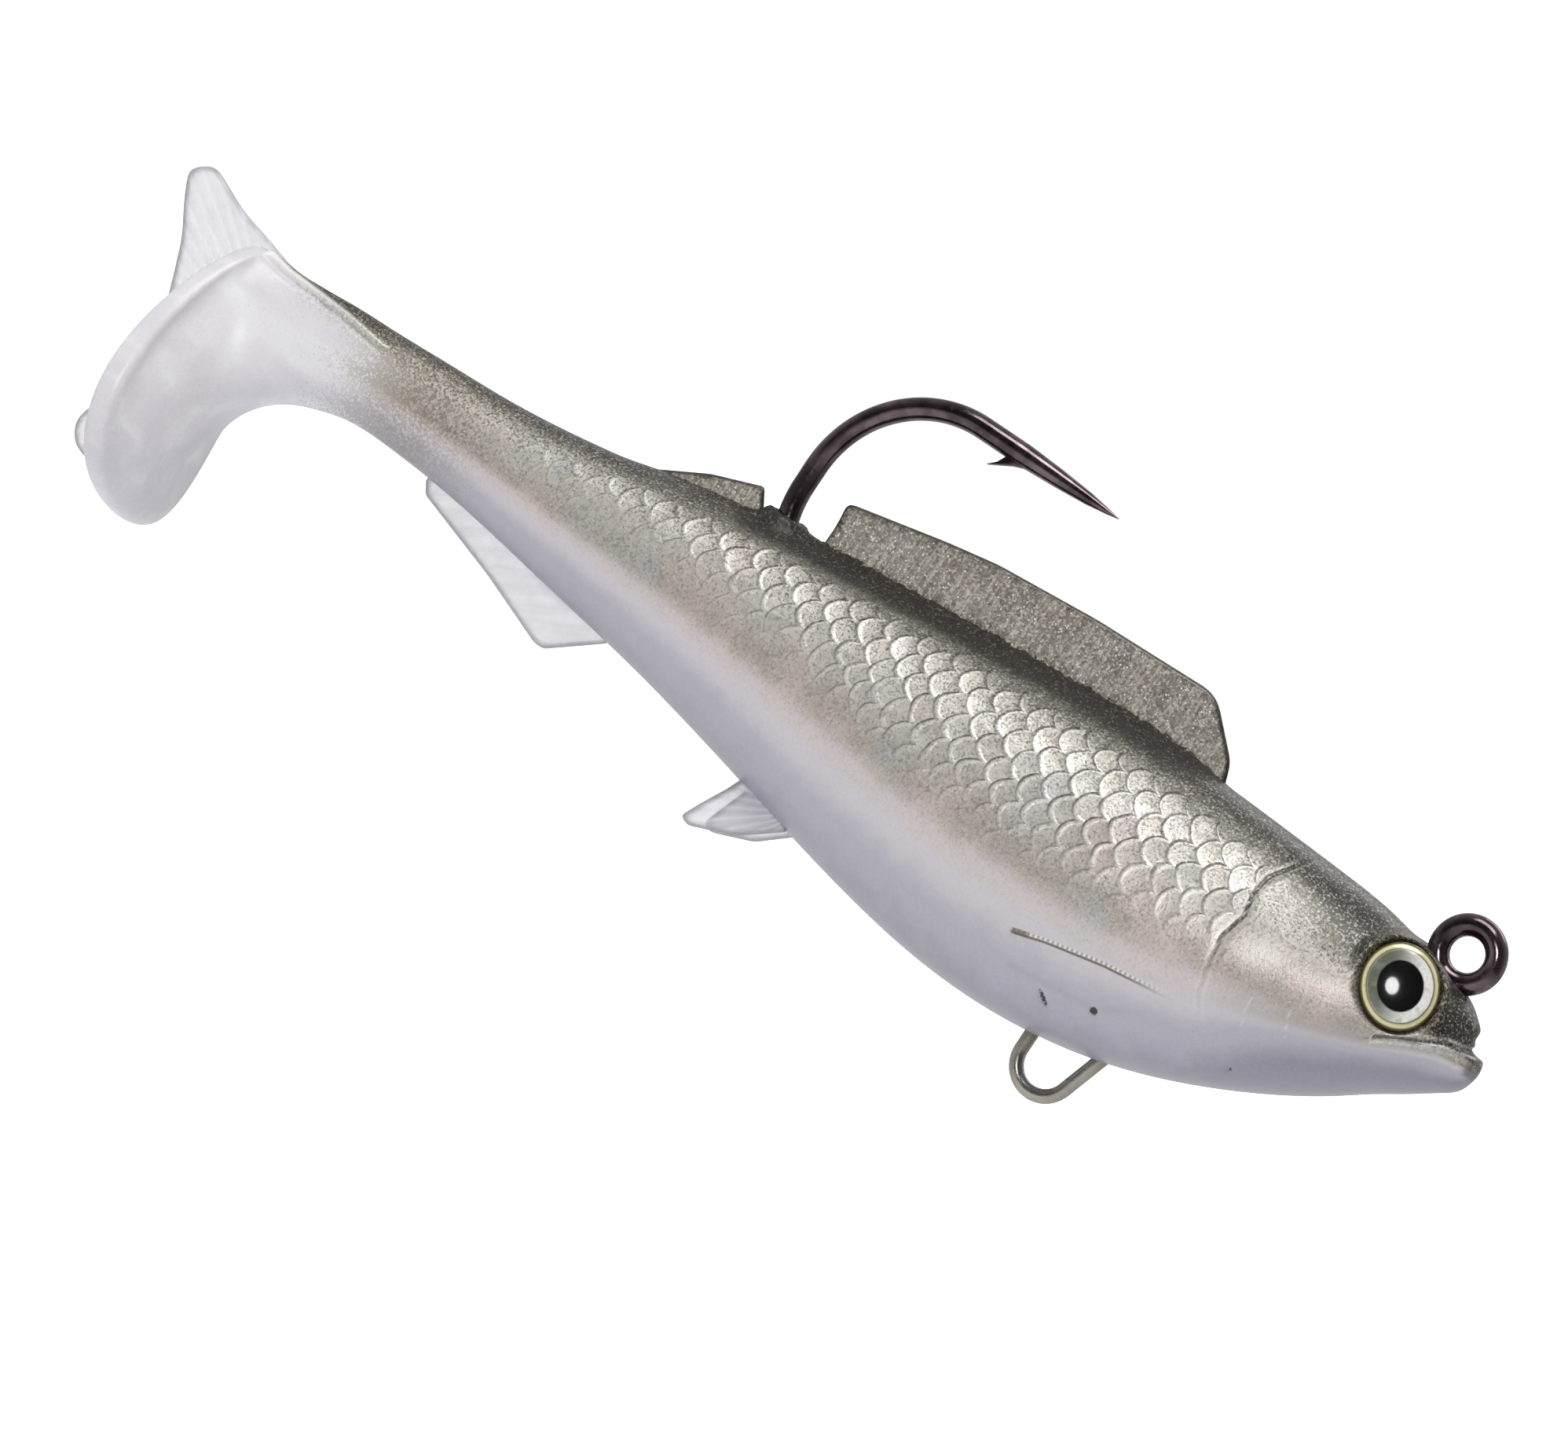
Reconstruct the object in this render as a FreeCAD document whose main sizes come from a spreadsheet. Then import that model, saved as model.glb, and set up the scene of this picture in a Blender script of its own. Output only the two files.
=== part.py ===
"""A weighted soft swimbait: moulded fish body, jig hook, lead slug, belly hanger, glued eyes.

Millimetres. The origin is the centre of the hook's line-tie ring, which stands on the head.
+X points out of the nose, +Y to the fish's left and +Z up through the back.
The soft moulding is kept as the pieces that bend against each other when it swims: the front
body, the rear body and the tail. Each hinge is a round knuckle in a round hollow.
"""
import FreeCAD, Part
import math
import os
import Sketcher
from FreeCAD import Placement, Rotation, Vector

doc = FreeCAD.newDocument("swimbait")

# ---------------------------------------------------------------- driving dimensions
SIZES = {
    # soft body
    "noseReach": 5.0,            # nose ahead of the line tie
    "bodyLength": 105.6,         # nose to where the paddle begins
    "bodyDepth": 21.75,
    "bodyWidth": 14.8,
    # hinges of the swimming flex, as shares of the body
    "swayPlace": 0.65,
    "swayKnuckle": 0.335,
    "hookToKnuckle": 0.165,
    "kickPlace": 0.88,
    "kickKnuckle": 0.165,
    "hingeGap": 0.3,
    # paddle
    "paddleWidth": 16.8,
    "paddleTop": 7.2,            # below the line tie
    "paddleHeight": 22.0,
    "paddleCrown": 5.3,          # front bulge ahead of the rim
    "paddleJoin": 2.0,           # the crown's start, ahead of the body's end
    "paddleRim": 0.5,
    # fins, cast with the body
    "finThickness": 0.9,
    "finRoot": 1.6,              # how deep a fin's root lies under the back or belly
    "dorsalHeight": 4.85,
    "dorsalToHook": 3.4,         # dorsal fin's rear edge to the middle of the hook's wire
    "secondDorsalHeight": 2.1,
    "analHeight": 3.5,
    "pelvicHeight": 4.4,
    "pelvicSpread": 1.5,
    "pelvicSplay": 14.0,
    "caudalReach": 6.8,          # upper lobe behind the paddle's back
    # hook
    "hookWire": 0.82,            # radius
    "ringRadius": 1.95,          # to the middle of the ring's wire
    "landLength": 0.5,           # reamed flat inside the ring
    "shankDrop": 8.1,
    "legAngle": 60.0,
    "elbowRadius": 4.0,
    "bendPlace": 0.463,          # middle of the bend behind the line tie, share of the length
    "bendRadius": 8.8,
    "throatRise": 1.5,
    "spearLength": 3.6,
    "pointLength": 8.2,
    "pointTip": 0.06,
    "barbLength": 4.2,
    "barbDrop": 1.9,
    "barbWidth": 0.7,
    # lead slug on the shank
    "slugPlace": 16.0,
    "slugDrop": 11.5,
    "slugLength": 23.0,
    "slugWidth": 8.6,
    "slugHeight": 10.0,
    # belly hanger
    "hangerWire": 0.52,          # radius
    "hangerPlace": 19.9,
    "hangerDrop": 22.4,
    "hangerBend": 2.1,
    "hangerLean": 18.0,
    "hangerLeg": 9.5,
    # eyes
    "eyeDiameter": 6.0,
    "eyeFoil": 0.5,
    "eyeDome": 1.3,
    "eyePlace": 0.064,           # behind the nose, share of the length
    "eyeDrop": 0.189,            # below the line tie, share of the depth
    "eyeOut": 0.23,              # back of the foil from the middle plane, share of the width
    "eyeForward": 14.0,
    "eyeUp": 10.0,
}
sheet = doc.addObject("Spreadsheet::Sheet", "Sizes")
for row, (name, value) in enumerate(SIZES.items(), start=1):
    sheet.set("A%d" % row, name)
    sheet.set("B%d" % row, str(value))
    sheet.setAlias("B%d" % row, name)
doc.recompute()

NODES = []
EXTRA = 30.0                     # how far a cutting block runs past the body


def expression(text):
    """Put the sheet's name before each size that the text uses."""
    for name in sorted(SIZES, key=len, reverse=True):
        text = text.replace("$" + name, "Sizes." + name)
    return text


def bind(item, **sizes):
    """Bind properties to the sheet. x, y and z are the item's place."""
    for name, text in sizes.items():
        target = "Placement.Base." + name if name in "xyz" else name
        item.setExpression(target, expression(text))
    return item


def add(kind, name, rotation=None, **sizes):
    """A Part primitive at a place that the sheet gives."""
    item = doc.addObject(kind, name)
    item.Placement = Placement(Vector(0, 0, 0), rotation or Rotation())
    return bind(item, **sizes)


def fuse(name, *pieces):
    item = doc.addObject("Part::MultiFuse", name)
    item.Shapes = list(pieces)
    item.Refine = True
    return item


def common(name, first, second):
    item = doc.addObject("Part::MultiCommon", name)
    item.Shapes = [first, second]
    return item


def cut(name, base, *tools):
    """Take each tool from the base in turn."""
    for count, tool in enumerate(tools, start=1):
        step = doc.addObject("Part::Cut", name if count == len(tools) else "%s_less_%d" % (name, count))
        step.Base = base
        step.Tool = tool
        base = step
    return base


def node(item, label):
    """Name a finished sub-part. Its label is its file's name."""
    item.Label = label
    NODES.append(item)
    return item


# ---------------------------------------------------------------- body form
# Oval sections, nose to tail: share of the length, back and belly as shares of the depth
# from the line tie, and width as a share of the full width. The last one ends in the paddle.
STATIONS = [
    (0.000, -0.244, -0.326, 0.108),
    (0.011, -0.175, -0.391, 0.284),
    (0.030, -0.110, -0.451, 0.432),
    (0.066, -0.064, -0.579, 0.622),
    (0.104, -0.023, -0.699, 0.757),
    (0.142, -0.009, -0.795, 0.851),
    (0.189, 0.000, -0.890, 0.932),
    (0.256, 0.009, -0.970, 0.993),
    (0.331, 0.002, -0.998, 1.000),
    (0.426, -0.037, -0.943, 0.932),
    (0.521, -0.083, -0.855, 0.811),
    (0.616, -0.138, -0.770, 0.689),
    (0.710, -0.221, -0.706, 0.541),
    (0.805, -0.283, -0.651, 0.392),
    (0.881, -0.303, -0.637, 0.311),
    (0.919, -0.313, -0.671, 0.284),
    (0.952, -0.317, -0.772, 0.284),
    (0.977, -0.322, -0.920, 0.338),
    (1.000, -0.326, -1.057, 0.378),
    (1.026, -0.330, -1.057, 0.360),
]
ROUND = [2 * math.pi * k / 12 for k in range(12)]


def oval(name, points):
    """A closed smooth section through points round it."""
    curve = Part.BSplineCurve()
    curve.interpolate(Points=points, PeriodicFlag=True)
    item = doc.addObject("Part::Feature", name)
    item.Shape = Part.Wire(curve.toShape())
    return item


def size(name):
    """A driving dimension, read back from the sheet."""
    return float(sheet.get(name))


def along(share):
    """Where a share of the body's length lies."""
    return "$noseReach - $bodyLength * %g" % share


def body_form():
    """The whole fish without its fins."""
    ovals = []
    for count, (place, back, belly, width) in enumerate(STATIONS, start=1):
        x = size("noseReach") - size("bodyLength") * place
        middle = size("bodyDepth") * (back + belly) / 2
        tall = size("bodyDepth") * (back - belly) / 2
        wide = size("bodyWidth") * width / 2
        # each section starts at the belly, so that the form's seam is clear of the hook
        points = [Vector(x, wide * math.sin(a), middle - tall * math.cos(a)) for a in ROUND]
        ovals.append(oval("body_section_%d" % count, points))
    form = doc.addObject("Part::Loft", "body_form")
    form.Sections = ovals
    form.Solid = True
    form.Ruled = False
    return form


def outline_at(place, column):
    """The back (1) or belly (2) as a share of the depth, at a share of the length."""
    for ahead, behind in zip(STATIONS, STATIONS[1:]):
        if ahead[0] <= place <= behind[0]:
            part = (place - ahead[0]) / (behind[0] - ahead[0])
            return ahead[column] + part * (behind[column] - ahead[column])
    raise ValueError("no body at %g" % place)


def behind_hinge(name, place, knuckle, gap):
    """All that lies behind a hinge, with the round knuckle that reaches forward of it by that much."""
    block = add("Part::Box", name + "_block",
                x=along(place) + " - $bodyLength", y="-%g" % EXTRA, z="-2 * %g" % EXTRA,
                Length="$bodyLength", Width="2 * %g" % EXTRA, Height="3 * %g" % EXTRA)
    core = add("Part::Cylinder", name + "_core",
               x=along(place), z="-2 * %g" % EXTRA,
               Radius="%s + %s" % (knuckle, gap), Height="3 * %g" % EXTRA)
    return fuse(name, block, core)


SWAY_KNUCKLE = "$bodyWidth * $swayKnuckle"
KICK_KNUCKLE = "$bodyWidth * $kickKnuckle"

BODY = body_form()
REAR_SPACE = behind_hinge("rear_space", SIZES["swayPlace"], SWAY_KNUCKLE, "$hingeGap")
REAR_ZONE = behind_hinge("rear_zone", SIZES["swayPlace"], SWAY_KNUCKLE, "0")
TAIL_SPACE = behind_hinge("tail_space", SIZES["kickPlace"], KICK_KNUCKLE, "$hingeGap")
TAIL_ZONE = behind_hinge("tail_zone", SIZES["kickPlace"], KICK_KNUCKLE, "0")
# the hook comes out of the back just ahead of the first knuckle, which is cut back to clear it
HOOK_BAY = add("Part::Box", "hook_bay",
               x="-$bodyLength * $bendPlace - $bendRadius - $hookWire - $hookToKnuckle",
               y="-%g" % EXTRA, z="-2 * %g" % EXTRA,
               Length="$bodyLength", Width="2 * %g" % EXTRA, Height="3 * %g" % EXTRA)


# ---------------------------------------------------------------- hook
def in_side_view(start):
    """Turn a ring segment into the XZ plane, starting at an angle from +X towards +Z."""
    return Rotation(Vector(1, 0, 0), 90).multiply(Rotation(Vector(0, 0, 1), start))


def bend(name, start, sweep, x, z, radius, wire):
    """An arc of round wire in the XZ plane."""
    return add("Part::Torus", name, in_side_view(start), x=x, z=z,
               Radius1=radius, Radius2=wire, Angle3=sweep)


def straight(name, heading, x, z, length, wire):
    """A straight run of round wire in the XZ plane, heading at an angle from +X towards +Z."""
    turn = Rotation(Vector(0, 1, 0), 90 - heading).multiply(Rotation(Vector(0, 0, 1), 90))
    return add("Part::Cylinder", name, turn, x=x, z=z, Radius=wire, Height=length)


def plate(name, corners, thickness):
    """A flat plate on the middle plane, from a sketch whose corners are bound to the sheet."""
    body = doc.addObject("PartDesign::Body", name)
    side_plane = next(f for f in body.Origin.OriginFeatures if f.Role == "XZ_Plane")
    sketch = body.newObject("Sketcher::SketchObject", name + "_outline")
    sketch.AttachmentSupport = [(side_plane, "")]
    sketch.MapMode = "FlatFace"
    total = len(corners)
    turn = 2 * math.pi / total
    ring = [Vector(math.cos(turn * k), math.sin(turn * k), 0) for k in range(total)]
    for k in range(total):
        sketch.addGeometry(Part.LineSegment(ring[k], ring[(k + 1) % total]))
    for k in range(total):
        sketch.addConstraint(Sketcher.Constraint("Coincident", k, 2, (k + 1) % total, 1))
    for k, (across, height) in enumerate(corners):
        for direction, text in (("DistanceX", across), ("DistanceY", height)):
            index = sketch.addConstraint(Sketcher.Constraint(direction, -1, 1, k, 1, 1.0))
            sketch.setExpression("Constraints[%d]" % index, expression(text))
    pad = body.newObject("PartDesign::Pad", name + "_pad")
    pad.Profile = sketch
    pad.SideType = "Symmetric"
    pad.setExpression("Length", expression(thickness))
    sketch.Visibility = False
    return body


def hook():
    """Round wire bent to a ring, leg, shank and bend, with a ground point and a cut barb.

    The leg runs down from the ring into the snout, the shank lies along the body and the bend
    comes out of the back.
    """
    wire = "$hookWire"
    leg_length = "$shankDrop / sin($legAngle) - $elbowRadius * tan($legAngle / 2)"
    elbow_x = "-($shankDrop / tan($legAngle) + $elbowRadius * tan($legAngle / 2))"
    bend_x = "-$bodyLength * $bendPlace"
    throat_z = "$bendRadius - $shankDrop"
    top_z = "2 * $bendRadius - $shankDrop + $throatRise"
    spear_end = "$spearLength - $bodyLength * $bendPlace"
    pieces = [
        bend("hook_ring", 0, "360", "0", "0", "$ringRadius", wire),
        straight("hook_leg", 180 + SIZES["legAngle"], "-$ringRadius * cos($legAngle)",
                 "-$ringRadius * sin($legAngle)", leg_length + " - $ringRadius", wire),
        bend("hook_elbow", 270, "$legAngle", elbow_x, "$elbowRadius - $shankDrop",
             "$elbowRadius", wire),
        straight("hook_shank", 180, elbow_x, "-$shankDrop", elbow_x + " - (" + bend_x + ")", wire),
        bend("hook_lower_bend", 180, "90", bend_x, throat_z, "$bendRadius", wire),
        straight("hook_throat", 90, bend_x + " - $bendRadius", throat_z, "$throatRise", wire),
        bend("hook_upper_bend", 90, "90", bend_x, throat_z + " + $throatRise", "$bendRadius", wire),
        straight("hook_spear", 0, bend_x, top_z, "$spearLength", wire),
        add("Part::Cone", "hook_point", Rotation(Vector(0, 1, 0), 90), x=spear_end, z=top_z,
            Radius1=wire, Radius2="$pointTip", Height="$pointLength"),
        plate("hook_barb", [
            (spear_end + " - 0.4 * $barbLength", top_z + " - $barbDrop"),
            (spear_end + " + 0.6 * $barbLength", top_z + " - 0.3 * $hookWire"),
            (spear_end, top_z),
            (spear_end + " - 0.1 * $barbLength", top_z + " - 0.7 * $hookWire"),
        ], "$barbWidth"),
    ]
    blank = fuse("hook_blank", *pieces)
    half_land = "($landLength / 2)"
    land = add("Part::Cylinder", "hook_land", Rotation(Vector(1, 0, 0), 90), y="$hookWire",
               Radius="$ringRadius - sqrt($hookWire * $hookWire - %s * %s)" % (half_land, half_land),
               Height="2 * $hookWire")
    return cut("hook_solid", blank, land)


HOOK = node(hook(), "hook")


# ---------------------------------------------------------------- belly hanger
def belly_hanger():
    """A loop of tinned wire whose two legs are cast into the slug and come out of the belly."""
    centre_x = "-$hangerPlace"
    centre_z = "-$hangerDrop"
    return fuse("hanger_solid",
                bend("hanger_loop", 180, "180 - $hangerLean", centre_x, centre_z,
                     "$hangerBend", "$hangerWire"),
                straight("hanger_rear_leg", 90, centre_x + " - $hangerBend", centre_z,
                         "$hangerLeg", "$hangerWire"),
                straight("hanger_front_leg", 90 - SIZES["hangerLean"],
                         centre_x + " + $hangerBend * cos($hangerLean)",
                         centre_z + " - $hangerBend * sin($hangerLean)",
                         "$hangerLeg", "$hangerWire"))


HANGER = node(belly_hanger(), "belly_hanger")


# ---------------------------------------------------------------- lead slug
def slug_form():
    """The outside of the lead, a long drop in the throat."""
    return add("Part::Ellipsoid", "slug_form", x="-$slugPlace", z="-$slugDrop",
               Radius1="$slugHeight / 2", Radius2="$slugLength / 2", Radius3="$slugWidth / 2",
               Angle1="-90", Angle2="90", Angle3="360")


SLUG_FORM = slug_form()
node(cut("slug_solid", SLUG_FORM, HOOK, HANGER), "jig_weight")


# ---------------------------------------------------------------- eyes
def eye(side, name):
    """A printed foil disc under a clear dome, facing out, a little forward and up."""
    facing = Rotation(Vector(0, 0, 1), -side * SIZES["eyeForward"]).multiply(
        Rotation(Vector(1, 0, 0), side * (SIZES["eyeUp"] - 90)))
    socket = {"x": along(size("eyePlace")), "y": "%d * $bodyWidth * $eyeOut" % side,
              "z": "-$bodyDepth * $eyeDrop"}
    radius = "($eyeDiameter * $eyeDiameter / 4 + $eyeDome * $eyeDome) / (2 * $eyeDome)"
    disc = add("Part::Cylinder", name + "_disc_solid", facing, **socket,
               Radius="$eyeDiameter / 2", Height="$eyeFoil")
    ball = add("Part::Sphere", name + "_ball", z="$eyeFoil + $eyeDome - " + radius, Radius=radius)
    slab = add("Part::Cylinder", name + "_slab", z="$eyeFoil",
               Radius="$eyeDiameter", Height="$eyeDome")
    dome = common(name + "_dome_solid", ball, slab)
    dome.Placement = Placement(Vector(0, 0, 0), facing)
    bind(dome, **socket)
    return node(disc, "eye_disc_" + name), node(dome, "eye_dome_" + name)


EYES = eye(1, "left") + eye(-1, "right")


# ---------------------------------------------------------------- paddle
# Level D-shaped sections, top to bottom: share of the height, of the width and of the crown.
PADDLE_LEVELS = [
    (0.005, 0.107, 0.150),
    (0.127, 0.357, 0.450),
    (0.264, 0.619, 0.755),
    (0.445, 0.881, 0.925),
    (0.627, 1.000, 1.000),
    (0.786, 0.929, 0.980),
    (0.923, 0.619, 0.790),
    (0.995, 0.214, 0.264),
]
RIM = "$noseReach - $bodyLength + $paddleJoin - $paddleCrown"


def tail_paddle():
    """The disc across the tail that catches the water: flat behind, crowned in front."""
    ovals = []
    rim = size("noseReach") - size("bodyLength") + size("paddleJoin") - size("paddleCrown")
    for count, (level, width, crown) in enumerate(PADDLE_LEVELS, start=1):
        z = -size("paddleTop") - size("paddleHeight") * level
        wide = size("paddleWidth") / 2 * width
        deep = size("paddleCrown") * crown
        points = [Vector(rim - deep * math.cos(a), wide * math.sin(a), z) for a in ROUND]
        ovals.append(oval("paddle_section_%d" % count, points))
    form = doc.addObject("Part::Loft", "paddle_form")
    form.Sections = ovals
    form.Solid = True
    form.Ruled = False
    front = add("Part::Box", "paddle_front", x=RIM + " - $paddleRim", y="-%g" % EXTRA,
                z="-2 * %g" % EXTRA, Length="%g" % EXTRA, Width="2 * %g" % EXTRA,
                Height="3 * %g" % EXTRA)
    return common("paddle_solid", form, front)


PADDLE = node(tail_paddle(), "tail_paddle")


# ---------------------------------------------------------------- soft body pieces
def soft_body():
    """The fish in three pieces that hinge on each other, hollowed where the hard parts sit."""
    front = cut("front_solid", BODY, REAR_SPACE, SLUG_FORM, HOOK, HANGER, *EYES)
    rear = cut("rear_solid", common("rear_block", BODY, REAR_ZONE), TAIL_SPACE, HOOK_BAY)
    stem = cut("stem_solid", common("stem_block", BODY, TAIL_ZONE), PADDLE)
    node(front, "front_body")
    node(rear, "rear_body")
    node(stem, "tail_stem")


soft_body()


# ---------------------------------------------------------------- fins
BACK, BELLY = 1, 2


def fin_corner(place, column, height, share):
    """A fin corner that stands a share of the fin's height off the back or the belly."""
    away = "+" if column == BACK else "-"
    level = outline_at(place, column)
    return along(place), "$bodyDepth * %g %s $%s * %g" % (level, away, height, share)


def fin(name, column, height, edge):
    """A thin plate whose root is buried, trimmed where it meets the body's skin.

    The edge lists the free outline from front to rear: share of the body's length and share
    of the fin's height.
    """
    corners = [fin_corner(place, column, height, share) for place, share in edge]
    for place in (edge[-1][0], edge[0][0]):
        level = outline_at(place, column)
        inward = "-" if column == BACK else "+"
        corners.append((along(place), "$bodyDepth * %g %s $finRoot" % (level, inward)))
    return node(cut(name + "_solid", plate(name + "_plate", corners, "$finThickness"), BODY), name)


# the dorsal fin stops short of the hook
hook_out = size("bodyLength") * size("bendPlace") + size("bendRadius")
dorsal_end = (size("noseReach") + hook_out - size("dorsalToHook")) / size("bodyLength")
fin("dorsal_fin", BACK, "dorsalHeight",
    [(0.241, 0.03), (0.280, 0.95), (0.373, 0.99), (0.450, 1.0), (dorsal_end, 0.75)])
fin("second_dorsal_fin", BACK, "secondDorsalHeight",
    [(0.604, 0.05), (0.6155, 1.0), (0.653, 0.53), (0.694, 0.02)])
fin("anal_fin", BELLY, "analHeight",
    [(0.648, 0.03), (0.687, 1.0), (0.820, 0.26), (0.826, 0.03)])


def pelvic_fin(side, name):
    """One of the pair under the belly, splayed outwards."""
    front = 0.467
    root = outline_at(front, BELLY)
    corners = []
    for place, share in [(front, 0.0), (0.4905, 0.62), (0.521, 1.0), (0.530, 0.85), (0.514, 0.0)]:
        drop = outline_at(place, BELLY) - root
        corners.append((along(place), "$bodyDepth * %g - $pelvicHeight * %g" % (drop, share)))
    for place in (0.514, front):
        drop = outline_at(place, BELLY) - root
        corners.append((along(place), "$bodyDepth * %g + $finRoot" % drop))
    blade = plate(name + "_plate", corners, "$finThickness")
    blade.Placement = Placement(Vector(0, 0, 0), Rotation(Vector(1, 0, 0), side * SIZES["pelvicSplay"]))
    bind(blade, y="%d * $pelvicSpread" % side, z="$bodyDepth * %g" % root)
    node(cut(name + "_solid", blade, BODY), name)


pelvic_fin(1, "pelvic_fin_left")
pelvic_fin(-1, "pelvic_fin_right")


def caudal_fin():
    """The forked fish tail on the middle plane, behind the paddle and over its top."""
    outline = [(-0.60, 0.005), (0.176, -0.059), (0.735, -0.132), (1.0, -0.086), (0.853, 0.023),
               (0.441, 0.273), (0.324, 0.423), (0.515, 0.718), (0.618, 0.836), (0.471, 0.914),
               (-0.25, 0.877), (-0.45, 0.20)]
    corners = []
    for reach, level in outline:
        corners.append((RIM + " - $paddleRim - $caudalReach * %g" % reach,
                        "-$paddleTop - $paddleHeight * %g" % level))
    blade = plate("caudal_plate", corners, "$finThickness")
    return node(cut("caudal_solid", blade, PADDLE, BODY), "caudal_fin")


caudal_fin()

# ---------------------------------------------------------------- check and export
doc.recompute()
for item in doc.Objects:
    if "Invalid" in item.State or "Error" in item.State:
        raise RuntimeError("%s failed: %s" % (item.Label, item.State))
os.makedirs("parts", exist_ok=True)
for item in NODES:
    shape = item.Shape
    if shape.isNull() or not shape.isValid() or not shape.Solids:
        raise RuntimeError("%s has no valid solid" % item.Label)
    shape.exportStep("parts/%s.step" % item.Label)
    box = shape.BoundBox
    print("%-20s %d solid %9.1f mm3  x %7.2f %7.2f  y %6.2f %6.2f  z %7.2f %7.2f" % (
        item.Label, len(shape.Solids), shape.Volume, box.XMin, box.XMax, box.YMin, box.YMax,
        box.ZMin, box.ZMax))
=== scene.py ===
"""A weighted soft swimbait: the moulded fish, its hook, belly hanger, eyes and clear fins."""
import bpy
import math
import numpy as np
from mathutils import Matrix, Vector


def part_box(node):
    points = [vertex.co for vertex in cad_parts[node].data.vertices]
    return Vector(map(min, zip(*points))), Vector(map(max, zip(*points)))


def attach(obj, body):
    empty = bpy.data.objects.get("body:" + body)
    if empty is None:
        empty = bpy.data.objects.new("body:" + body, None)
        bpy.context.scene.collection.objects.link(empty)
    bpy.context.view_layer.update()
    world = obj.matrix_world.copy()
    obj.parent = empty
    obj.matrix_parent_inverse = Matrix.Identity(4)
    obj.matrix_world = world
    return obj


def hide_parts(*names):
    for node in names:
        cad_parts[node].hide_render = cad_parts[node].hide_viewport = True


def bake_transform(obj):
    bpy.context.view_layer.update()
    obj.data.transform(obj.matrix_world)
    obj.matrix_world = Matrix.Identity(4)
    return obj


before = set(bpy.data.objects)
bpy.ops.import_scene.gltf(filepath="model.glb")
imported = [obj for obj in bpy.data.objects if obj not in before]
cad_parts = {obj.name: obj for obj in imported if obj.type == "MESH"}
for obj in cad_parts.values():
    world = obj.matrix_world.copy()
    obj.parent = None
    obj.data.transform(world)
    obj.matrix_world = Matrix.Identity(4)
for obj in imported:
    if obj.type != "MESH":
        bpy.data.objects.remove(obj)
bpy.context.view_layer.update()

MM = 0.001


# ------------------------------------------------------------------ moulded fish
# One casting of soft plastic from a two-part mould: body, wrist and paddle. The scales, gill
# cover, lips and eye seats are cut in the mould, so they stand in the casting's own surface.
# It is painted from the back down and left bare pearl at the tail.

# Ovals from lips to paddle. Place of the back's point and of the belly's point as (x, z), half
# width, how much fuller the lower half is, and how far the sides lie behind the middle.
OVALS = [
    ((5.1, -5.9), (5.1, -6.5), 0.35, 0.0, 0.0),
    ((4.7, -4.8), (4.7, -7.7), 1.35, 0.0, 0.0),
    ((3.7, -3.75), (3.7, -8.6), 2.15, 0.0, 0.0),
    ((1.9, -2.4), (1.9, -9.9), 3.2, 0.0, 0.0),
    ((0.0, -1.85), (0.0, -11.2), 4.0, 0.0, 0.0),
    ((-2.0, -1.35), (-2.0, -12.7), 4.65, 0.0, 0.0),
    ((-6.0, -0.5), (-6.0, -15.3), 5.6, 0.02, 0.0),
    ((-10.0, -0.18), (-10.0, -17.4), 6.3, 0.03, 0.0),
    ((-15.0, 0.03), (-15.0, -19.45), 6.9, 0.04, 0.0),
    ((-20.0, 0.2), (-20.0, -20.8), 7.3, 0.05, 0.0),
    ((-30.0, 0.06), (-30.0, -21.65), 7.4, 0.05, 0.0),
    ((-40.0, -0.8), (-40.0, -20.5), 6.9, 0.05, 0.0),
    ((-50.0, -1.78), (-50.0, -18.55), 6.0, 0.04, 0.0),
    ((-60.0, -3.0), (-60.0, -16.7), 5.1, 0.03, 0.0),
    ((-70.0, -4.78), (-70.0, -15.33), 4.0, 0.02, 0.0),
    ((-80.0, -6.15), (-80.0, -14.13), 2.9, 0.0, 0.0),
    ((-86.0, -6.5), (-86.0, -13.83), 2.35, 0.0, 0.0),
    ((-90.0, -6.73), (-90.0, -14.05), 2.15, 0.0, 0.0),
    ((-92.5, -6.82), (-92.5, -14.75), 2.1, 0.0, 0.0),
    ((-94.6, -6.92), (-94.8, -15.8), 2.1, 0.02, 0.0),
    ((-96.0, -7.0), (-96.5, -17.3), 2.2, 0.05, 0.0),
    ((-97.3, -7.05), (-97.6, -19.0), 2.4, 0.1, 0.1),
    ((-98.4, -7.1), (-98.25, -21.0), 2.8, 0.15, 0.3),
    ((-99.4, -7.1), (-98.45, -23.3), 3.4, 0.22, 0.6),
    ((-100.3, -7.1), (-98.4, -25.6), 4.3, 0.3, 1.0),
    ((-101.1, -7.1), (-98.55, -27.5), 5.4, 0.38, 1.6),
    ((-101.7, -7.1), (-99.1, -28.8), 6.7, 0.37, 2.0),
    ((-102.1, -7.12), (-99.9, -29.15), 7.6, 0.37, 1.5),
    ((-102.8, -7.3), (-100.9, -29.05), 7.95, 0.37, 1.5),
    ((-103.5, -7.9), (-101.9, -28.6), 7.7, 0.37, 1.5),
    ((-103.7, -9.3), (-102.4, -27.3), 6.8, 0.37, 1.3),
    ((-103.5, -12.0), (-102.7, -24.5), 4.7, 0.4, 0.9),
    ((-103.3, -15.5), (-102.9, -21.0), 2.4, 0.3, 0.3),
    ((-103.2, -17.8), (-103.0, -18.6), 0.3, 0.0, 0.0),
]
AROUND = 264                     # points round each oval
TAIL_ROWS = 190                  # ovals from the seam to the end of the paddle
SEAM_X = -80.0                   # the front and rear skins meet between the two hinges


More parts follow.
